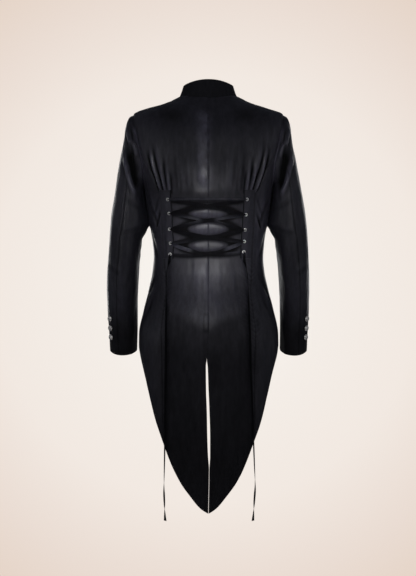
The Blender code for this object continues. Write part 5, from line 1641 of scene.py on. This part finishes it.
def make_eyelets(label, side):
    """Five rolled metal rings in one tab."""
    rings = []
    for number, (place, level) in enumerate(eyelet_places(side), start=1):
        vertices, faces = lathe(EYELET_PROFILE, 40)
        placing = seat_matrix(*eyelet_seat(side, place, level))
        ring = new_object(f"metal_ring_{label}_{number}", [tuple(placing @ Vector(v)) for v in vertices], faces)
        face_outwards(ring.data)
        rings.append(ring)
    return rings


BUTTON_RADIUS = 0.0075
BUTTON_HEIGHT = 0.0062
SHANK_RADIUS = 0.0025
SHANK_HEIGHT = 0.0024
BUTTON_SECTORS = 120
CUFF_BUTTON_LEAN = 0.40
BUTTON_DOME = [(0.0, 1.00), (0.10, 0.995), (0.18, 0.985), (0.26, 0.965), (0.34, 0.94), (0.42, 0.91),
               (0.50, 0.87), (0.56, 0.83), (0.62, 0.78), (0.68, 0.72), (0.73, 0.66), (0.77, 0.60),
               (0.80, 0.55), (0.83, 0.50), (0.86, 0.47), (0.89, 0.45), (0.92, 0.42), (0.95, 0.36),
               (0.98, 0.28), (1.00, 0.18), (0.995, 0.08), (0.97, 0.02), (0.93, 0.0)]


def button_ornament(radius, turn):
    """Height of a plain rosette: eight petals round a boss inside a beaded rim."""
    petals = np.cos(4 * turn) ** 2
    ring = np.exp(-((radius - 0.50) / 0.16) ** 2)
    boss = np.exp(-(radius / 0.13) ** 4) * 0.9
    groove = -0.7 * np.exp(-((radius - 0.76) / 0.030) ** 2) - 0.6 * np.exp(-((radius - 0.21) / 0.04) ** 2)
    beads = np.exp(-((radius - 0.90) / 0.055) ** 2) * (0.25 + 0.75 * np.abs(np.sin(16 * turn)))
    return 0.00042 * (1.2 * ring * petals + boss + groove + beads)


def button_shape():
    """Points and faces of a domed metal button with its shank, standing on its seat."""
    turns = 2 * np.pi * np.arange(BUTTON_SECTORS) / BUTTON_SECTORS
    vertices = [(0.0, 0.0, BUTTON_HEIGHT)]
    rings = []
    dome = BUTTON_HEIGHT - SHANK_HEIGHT
    rows = [(share * BUTTON_RADIUS, SHANK_HEIGHT + height * dome, share) for share, height in BUTTON_DOME[1:]]
    rows += [(SHANK_RADIUS, SHANK_HEIGHT, -1), (SHANK_RADIUS, 0.0, -1)]
    for radius, height, share in rows:
        lift = button_ornament(share, turns) if share > 0 else np.zeros_like(turns)
        ring = []
        for turn, rise in zip(turns, lift):
            ring.append(len(vertices))
            vertices.append((radius * math.cos(turn), radius * math.sin(turn), height + rise - 0.0002))
        rings.append(ring)
    faces = [(0, rings[0][step], rings[0][(step + 1) % BUTTON_SECTORS]) for step in range(BUTTON_SECTORS)]
    for upper, lower in zip(rings, rings[1:]):
        for step in range(BUTTON_SECTORS):
            after = (step + 1) % BUTTON_SECTORS
            faces.append((upper[step], lower[step], lower[after], upper[after]))
    faces.append(tuple(rings[-1][::-1]))
    return vertices, faces


def sleeve_seat(height):
    """The outside of the left cuff at a height, on the button line, and the way it faces."""
    turns = CUFF_BUTTON_TURN + SEAT_TURN_STEP * np.array([-1, 0, 1])
    rings = sleeve_rings(turns)
    line = rings[:, 1]
    spot = int(np.searchsorted(-line[:, 2], -height))
    share = (height - line[spot - 1, 2]) / (line[spot, 2] - line[spot - 1, 2])
    seat = mix(line[spot - 1], line[spot], share)
    around = rings[spot, 2] - rings[spot, 0]
    down = line[spot] - line[spot - 1]
    normal = unit(np.cross(around, down))
    if normal[0] < 0:
        normal = -normal
    return seat + normal * (CLOTH / 2), normal


def make_buttons():
    """Three buttons on each cuff and six down the front, with the nodes that they stand for."""
    made = []
    vertices, faces = button_shape()
    seats = []
    for label, side in (("left", 1), ("right", -1)):
        for number, height in enumerate(CUFF_BUTTON_HEIGHTS, start=1):
            seat, normal = sleeve_seat(height)
            mirror = np.array([side, 1, 1])
            leaning = unit(normal + np.array([0.0, CUFF_BUTTON_LEAN, 0.0]))
            seats.append((f"cuff_button_{label}_{number}", seat * mirror, leaning * mirror))
    for number, level in enumerate(FRONT_BUTTON_LEVELS, start=1):
        angle = np.array(FRONT_BUTTON_ANGLE)
        normal = body_normal(angle, np.array(level))
        seats.append((f"front_button_{number}", body(angle, level) + normal * (CLOTH / 2), normal))
    for node, seat, normal in seats:
        placing = seat_matrix(seat + normal * AIR, normal)
        button = new_object(node.replace("button", "metal_button"),
                            [tuple(placing @ Vector(vertex)) for vertex in vertices], faces)
        face_outwards(button.data)
        made.append((button, node))
    return made


# Materials

def new_material(name):
    """A material with its shader and output, and a helper that adds nodes."""
    material = bpy.data.materials.new(name)
    material.use_nodes = True
    nodes = material.node_tree.nodes
    shader = nodes["Principled BSDF"]
    return material, nodes, material.node_tree.links, shader


def scaled_place(nodes, links, scale):
    """The place on the object, stretched by a scale for each axis."""
    place = nodes.new("ShaderNodeTexCoord")
    stretch = nodes.new("ShaderNodeMapping")
    stretch.inputs["Scale"].default_value = scale
    links.new(place.outputs["Object"], stretch.inputs["Vector"])
    return stretch.outputs["Vector"]


def noise_node(nodes, links, vector, scale, detail, roughness=0.5):
    """A noise texture on a vector."""
    noise = nodes.new("ShaderNodeTexNoise")
    noise.inputs["Scale"].default_value = scale
    noise.inputs["Detail"].default_value = detail
    noise.inputs["Roughness"].default_value = roughness
    links.new(vector, noise.inputs["Vector"])
    return noise.outputs["Fac"]


def ramp_node(nodes, links, value, stops):
    """Colours by a value; stops are position and colour."""
    ramp = nodes.new("ShaderNodeValToRGB")
    while len(ramp.color_ramp.elements) < len(stops):
        ramp.color_ramp.elements.new(0.5)
    for element, (position, colour) in zip(ramp.color_ramp.elements, stops):
        element.position = position
        element.color = (*colour, 1.0)
    links.new(value, ramp.inputs["Fac"])
    return ramp.outputs["Color"]


def range_node(nodes, links, value, low, high, start=0.3, end=0.7):
    """A value moved from one range to another."""
    moved = nodes.new("ShaderNodeMapRange")
    moved.inputs["From Min"].default_value = start
    moved.inputs["From Max"].default_value = end
    moved.inputs["To Min"].default_value = low
    moved.inputs["To Max"].default_value = high
    links.new(value, moved.inputs["Value"])
    return moved.outputs["Result"]


def bump_node(nodes, links, height, strength, distance, before=None):
    """A bump on top of another one."""
    bump = nodes.new("ShaderNodeBump")
    bump.inputs["Strength"].default_value = strength
    bump.inputs["Distance"].default_value = distance
    links.new(height, bump.inputs["Height"])
    if before is not None:
        links.new(before, bump.inputs["Normal"])
    return bump.outputs["Normal"]


# Roughness by a third of the tone: matt in the hollows, glossy on the ridges
TONE_GLOSS = [(0.04, (1.0, 1.0, 1.0)), (0.33, (0.42, 0.42, 0.42)), (0.90, (0.30, 0.30, 0.30))]


def satin_material():
    """Black satin: long shiny floats down the cloth, a soft sheen, faint patchy colour, and painted light and shade
    from the tone attribute.
    """
    material, nodes, links, shader = new_material("black_satin")
    grain = noise_node(nodes, links, scaled_place(nodes, links, (1.0, 1.0, 0.16)), 900, 3)
    floats = noise_node(nodes, links, scaled_place(nodes, links, (1.0, 1.0, 0.10)), 260, 3)
    cloud = noise_node(nodes, links, scaled_place(nodes, links, (1.0, 1.0, 0.45)), 14, 4)
    colour = ramp_node(nodes, links, cloud, [(0.30, (0.0190, 0.0183, 0.0245)), (0.72, (0.0262, 0.0252, 0.0335))])
    # The tone attribute scales the colour: painted shade and painted highlights along with the cloth's own patchy
    # tone
    tone = nodes.new("ShaderNodeAttribute")
    tone.attribute_name = "tone"
    toned = nodes.new("ShaderNodeVectorMath")
    toned.operation = "SCALE"
    links.new(colour, toned.inputs[0])
    links.new(tone.outputs["Fac"], toned.inputs["Scale"])
    streaks = noise_node(nodes, links, scaled_place(nodes, links, (1.0, 1.0, 0.30)), 130, 5, 0.65)
    streaked = nodes.new("ShaderNodeVectorMath")
    streaked.operation = "SCALE"
    links.new(toned.outputs["Vector"], streaked.inputs[0])
    links.new(range_node(nodes, links, streaks, 0.78, 1.26), streaked.inputs["Scale"])
    links.new(streaked.outputs["Vector"], shader.inputs["Base Color"])
    gloss = nodes.new("ShaderNodeMath")
    gloss.operation = "ADD"
    links.new(range_node(nodes, links, streaks, 0.03, -0.03), gloss.inputs[0])
    third = range_node(nodes, links, tone.outputs["Fac"], 0.0, 1.0, 0.0, 3.0)
    links.new(ramp_node(nodes, links, third, TONE_GLOSS), gloss.inputs[1])
    links.new(gloss.outputs["Value"], shader.inputs["Roughness"])
    rough = bump_node(nodes, links, grain, 0.22, 0.0004)
    links.new(bump_node(nodes, links, floats, 0.10, 0.0008, rough), shader.inputs["Normal"])
    shader.inputs["Specular IOR Level"].default_value = 0.20
    shader.inputs["Sheen Weight"].default_value = 0.02
    shader.inputs["Sheen Roughness"].default_value = 0.4
    shader.inputs["Sheen Tint"].default_value = (0.80, 0.82, 1.0, 1.0)
    return material


def lace_material():
    """Black satin ribbon with fine ribs across it."""
    material, nodes, links, shader = new_material("black_ribbon")
    ribs = noise_node(nodes, links, scaled_place(nodes, links, (0.4, 0.4, 1.0)), 1500, 2)
    # The tone attribute scales the colour with the lace's painted highlights
    tone = nodes.new("ShaderNodeAttribute")
    tone.attribute_name = "tone"
    toned = nodes.new("ShaderNodeVectorMath")
    toned.operation = "SCALE"
    cloud = noise_node(nodes, links, scaled_place(nodes, links, (1.0, 1.0, 1.0)), 60, 3)
    colour = ramp_node(nodes, links, cloud, [(0.3, (0.0025, 0.0025, 0.0036)), (0.7, (0.0050, 0.0050, 0.0060))])
    links.new(colour, toned.inputs[0])
    links.new(tone.outputs["Fac"], toned.inputs["Scale"])
    links.new(toned.outputs["Vector"], shader.inputs["Base Color"])
    links.new(range_node(nodes, links, tone.outputs["Fac"], 0.70, 0.42, 1.0, 6.0), shader.inputs["Roughness"])
    links.new(bump_node(nodes, links, ribs, 0.25, 0.0003), shader.inputs["Normal"])
    shader.inputs["Specular IOR Level"].default_value = 0.04
    return material


def metal_material(name, bright, dull, polish):
    """Silvery metal with darker tarnish in broad patches and fine scratches."""
    material, nodes, links, shader = new_material(name)
    patch = noise_node(nodes, links, scaled_place(nodes, links, (1.0, 1.0, 1.0)), 420, 4)
    scratch = noise_node(nodes, links, scaled_place(nodes, links, (1.0, 1.0, 0.08)), 2600, 2)
    links.new(ramp_node(nodes, links, patch, [(0.32, dull), (0.62, bright)]), shader.inputs["Base Color"])
    links.new(range_node(nodes, links, patch, polish + 0.14, polish), shader.inputs["Roughness"])
    links.new(bump_node(nodes, links, scratch, 0.08, 0.0002), shader.inputs["Normal"])
    shader.inputs["Metallic"].default_value = 1.0
    return material


# The stage

def make_camera():
    """A level camera behind the coat, framed as the photograph is."""
    camera_data = bpy.data.cameras.new("camera")
    camera_data.sensor_width = SENSOR_WIDTH
    camera_data.lens = SENSOR_WIDTH * CAMERA_PLACE[1] / PICTURE_HEIGHT
    camera = bpy.data.objects.new("camera", camera_data)
    camera.location = CAMERA_PLACE
    camera.rotation_euler = (math.radians(90), 0, math.radians(180))
    bpy.context.scene.collection.objects.link(camera)
    bpy.context.scene.camera = camera


def area_light(name, place, target, width, height, power, colour=(1.0, 1.0, 1.0)):
    """A soft rectangular light that looks at a target."""
    data = bpy.data.lights.new(name, "AREA")
    data.shape = "RECTANGLE"
    data.size = width
    data.size_y = height
    data.energy = power
    data.color = colour
    light = bpy.data.objects.new(name, data)
    light.location = place
    way = Vector(target) - Vector(place)
    light.rotation_euler = way.to_track_quat("-Z", "Y").to_euler()
    bpy.context.scene.collection.objects.link(light)
    return light


# The colours that the camera sees on the surround, by the distance from straight behind the coat: a painted pool of
# light, lightest there
SURROUND = [(0.00, (0.956, 0.930, 0.888)), (0.10, (0.905, 0.850, 0.800)), (0.18, (0.886, 0.813, 0.757)),
            (0.25, (0.820, 0.715, 0.648)), (0.31, (0.770, 0.638, 0.545))]
SURROUND_FILL = 0.08


def make_world():
    """A cream surround with a painted pool of light, lightest behind the coat, that hardly lights it."""
    world = bpy.data.worlds.new("surround")
    bpy.context.scene.world = world
    world.use_nodes = True
    nodes = world.node_tree.nodes
    links = world.node_tree.links
    nodes.clear()
    output = nodes.new("ShaderNodeOutputWorld")
    seen = nodes.new("ShaderNodeBackground")
    lit = nodes.new("ShaderNodeBackground")
    path = nodes.new("ShaderNodeLightPath")
    choose = nodes.new("ShaderNodeMixShader")
    way = nodes.new("ShaderNodeTexCoord")
    flatten = nodes.new("ShaderNodeMapping")
    flatten.inputs["Scale"].default_value = (1.0, 0.0, 1.0)
    distance = nodes.new("ShaderNodeVectorMath")
    distance.operation = "LENGTH"
    links.new(way.outputs["Generated"], flatten.inputs["Vector"])
    links.new(flatten.outputs["Vector"], distance.inputs[0])
    links.new(ramp_node(nodes, links, distance.outputs["Value"], SURROUND), seen.inputs["Color"])
    lit.inputs["Color"].default_value = (0.80, 0.85, 1.0, 1)
    lit.inputs["Strength"].default_value = SURROUND_FILL
    links.new(path.outputs["Is Camera Ray"], choose.inputs["Fac"])
    links.new(lit.outputs["Background"], choose.inputs[1])
    links.new(seen.outputs["Background"], choose.inputs[2])
    links.new(choose.outputs["Shader"], output.inputs["Surface"])


FLOOR_HEIGHT = -1.45
FLOOR_RADIUS = 0.70
FLOOR_SEGMENTS = 64


def make_floor():
    """A plain pale round floor below the coat, that fades away at its edge."""
    vertices = [(0.0, 0.0, FLOOR_HEIGHT)]
    for step in range(FLOOR_SEGMENTS):
        turn = 2 * math.pi * step / FLOOR_SEGMENTS
        vertices.append((FLOOR_RADIUS * math.cos(turn), FLOOR_RADIUS * math.sin(turn), FLOOR_HEIGHT))
    faces = [(0, 1 + step, 1 + (step + 1) % FLOOR_SEGMENTS) for step in range(FLOOR_SEGMENTS)]
    floor = new_object("floor", vertices, faces)
    material, nodes, links, shader = new_material("pale_floor")
    flat_place = scaled_place(nodes, links, (1.0, 1.0, 0.0))
    distance = nodes.new("ShaderNodeVectorMath")
    distance.operation = "LENGTH"
    links.new(flat_place, distance.inputs[0])
    links.new(range_node(nodes, links, distance.outputs["Value"], 1.0, 0.0, 0.45 * FLOOR_RADIUS, FLOOR_RADIUS),
              shader.inputs["Alpha"])
    shader.inputs["Base Color"].default_value = (0.80, 0.74, 0.69, 1.0)
    shader.inputs["Roughness"].default_value = 0.9
    floor.data.materials.append(material)


def spot_light(name, place, target, degrees, narrowing, power):
    """A soft-edged spot; narrowing squeezes its pool of light sideways."""
    data = bpy.data.lights.new(name, "SPOT")
    data.energy = power
    data.spot_size = math.radians(degrees)
    data.spot_blend = 1.0
    data.shadow_soft_size = 0.12
    light = bpy.data.objects.new(name, data)
    light.location = place
    way = Vector(target) - Vector(place)
    light.rotation_euler = way.to_track_quat("-Z", "Y").to_euler()
    light.scale = (narrowing, 1.0, 1.0)
    bpy.context.scene.collection.objects.link(light)
    return light


def make_lights():
    """Soft lights behind the camera and at the sides, and spots on the laced waist and the seat."""
    middle = (0.0, 0.0, -0.50)
    area_light("high_back", (0.0, 3.3, 0.70), middle, 1.2, 0.6, 6)
    area_light("left_back", (1.6, 2.8, -0.2), middle, 0.7, 1.6, 8)
    area_light("right_back", (-1.6, 2.8, -0.2), middle, 0.7, 1.6, 8)
    area_light("left_side", (2.8, 1.4, -0.2), middle, 0.7, 1.8, 4)
    area_light("right_side", (-2.8, 1.4, -0.2), middle, 0.7, 1.8, 4)
    area_light("left_rim", (3.0, -0.4, -0.2), middle, 0.7, 1.8, 1.5)
    area_light("right_rim", (-3.0, -0.4, -0.2), middle, 0.7, 1.8, 1.5)
    area_light("high_front", (0.0, -3.3, 0.70), middle, 1.2, 0.8, 9)
    area_light("left_front", (1.6, -2.8, -0.2), middle, 0.7, 1.6, 12)
    area_light("right_front", (-1.6, -2.8, -0.2), middle, 0.7, 1.6, 9)
    area_light("floor_light", (0.0, 0.0, -1.30), (0.0, 0.0, FLOOR_HEIGHT), 1.3, 1.3, 3)
    spot_light("waist_spot", (0.0, 3.6, -0.20), (0.0, 0.09, -0.362), 3.2, 0.75, 1300)
    spot_light("seat_spot", (0.0, 3.6, 0.30), (0.0, 0.10, -0.520), 3.6, 0.62, 250)
    spot_light("left_arm_spot", (1.6, 3.2, -0.1), (0.230, 0.03, -0.215), 3.8, 0.32, 420)
    spot_light("right_arm_spot", (-1.6, 3.2, -0.1), (-0.230, 0.03, -0.215), 3.8, 0.32, 420)


# Making

def finish_piece(piece, nodes, material):
    """Give a piece its body and its material, and hide the imported parts that it stands for."""
    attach(piece, BODY_NAME)
    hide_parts(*nodes)
    piece.data.materials.clear()
    piece.data.materials.append(material)


# A piece of cloth's cut: width, length, flat area and how it is held
Cut = namedtuple("Cut", "width length area held")


bpy.context.scene.view_settings.view_transform = "Standard"
make_camera()

satin = satin_material()
ribbon_finish = lace_material()
for label, side, table in (("left", 1, LEFT_LACE_END), ("right", -1, RIGHT_LACE_END)):
    end, path = ribbon("free_lace_" + label, lace_end_steps(side, table))
    finish_piece(end, ["lace_end_" + label], ribbon_finish)

lace_steps = list(reversed(half_lace(-1))) + top_bar() + half_lace(1)
crossed_lace, _ = ribbon("crossed_lace", lace_steps)
finish_piece(crossed_lace, ["lace"], ribbon_finish)

for label, side in (("left", 1), ("right", -1)):
    back = panel("back_panel_" + label, *back_grid(side), side, {"start": CENTRE_SEAM_SHARE, "end": 1.0})
    finish_piece(back, ["back_" + label], satin)
    side_back = panel("side_back_panel_" + label, *side_back_grid(), side, {"start": 1.0, "end": 1.0, "top": 1.0})
    finish_piece(side_back, ["side_back_" + label], satin)
    front = panel("front_panel_" + label, *front_grid(), side, {"start": 1.0})
    finish_piece(front, ["front_" + label], satin)
    top_sleeve, under_sleeve = make_sleeve(label, side)
    finish_piece(top_sleeve, ["sleeve_top_" + label], satin)
    finish_piece(under_sleeve, ["sleeve_under_" + label], satin)
    tab = make_tab(label, side)
    finish_piece(tab, ["tab_" + label], satin)

collar = make_collar()
finish_piece(collar, ["collar"], satin)

eyelet_metal = metal_material("bright_metal", (0.92, 0.91, 0.89), (0.66, 0.65, 0.64), 0.34)
button_metal = metal_material("aged_metal", (0.90, 0.88, 0.84), (0.42, 0.40, 0.38), 0.34)
for label, side in (("left", 1), ("right", -1)):
    for number, ring in enumerate(make_eyelets(label, side), start=1):
        finish_piece(ring, [f"eyelet_{label}_{number}"], eyelet_metal)
for button, node in make_buttons():
    finish_piece(button, [node], button_metal)

make_world()
make_floor()
make_lights()
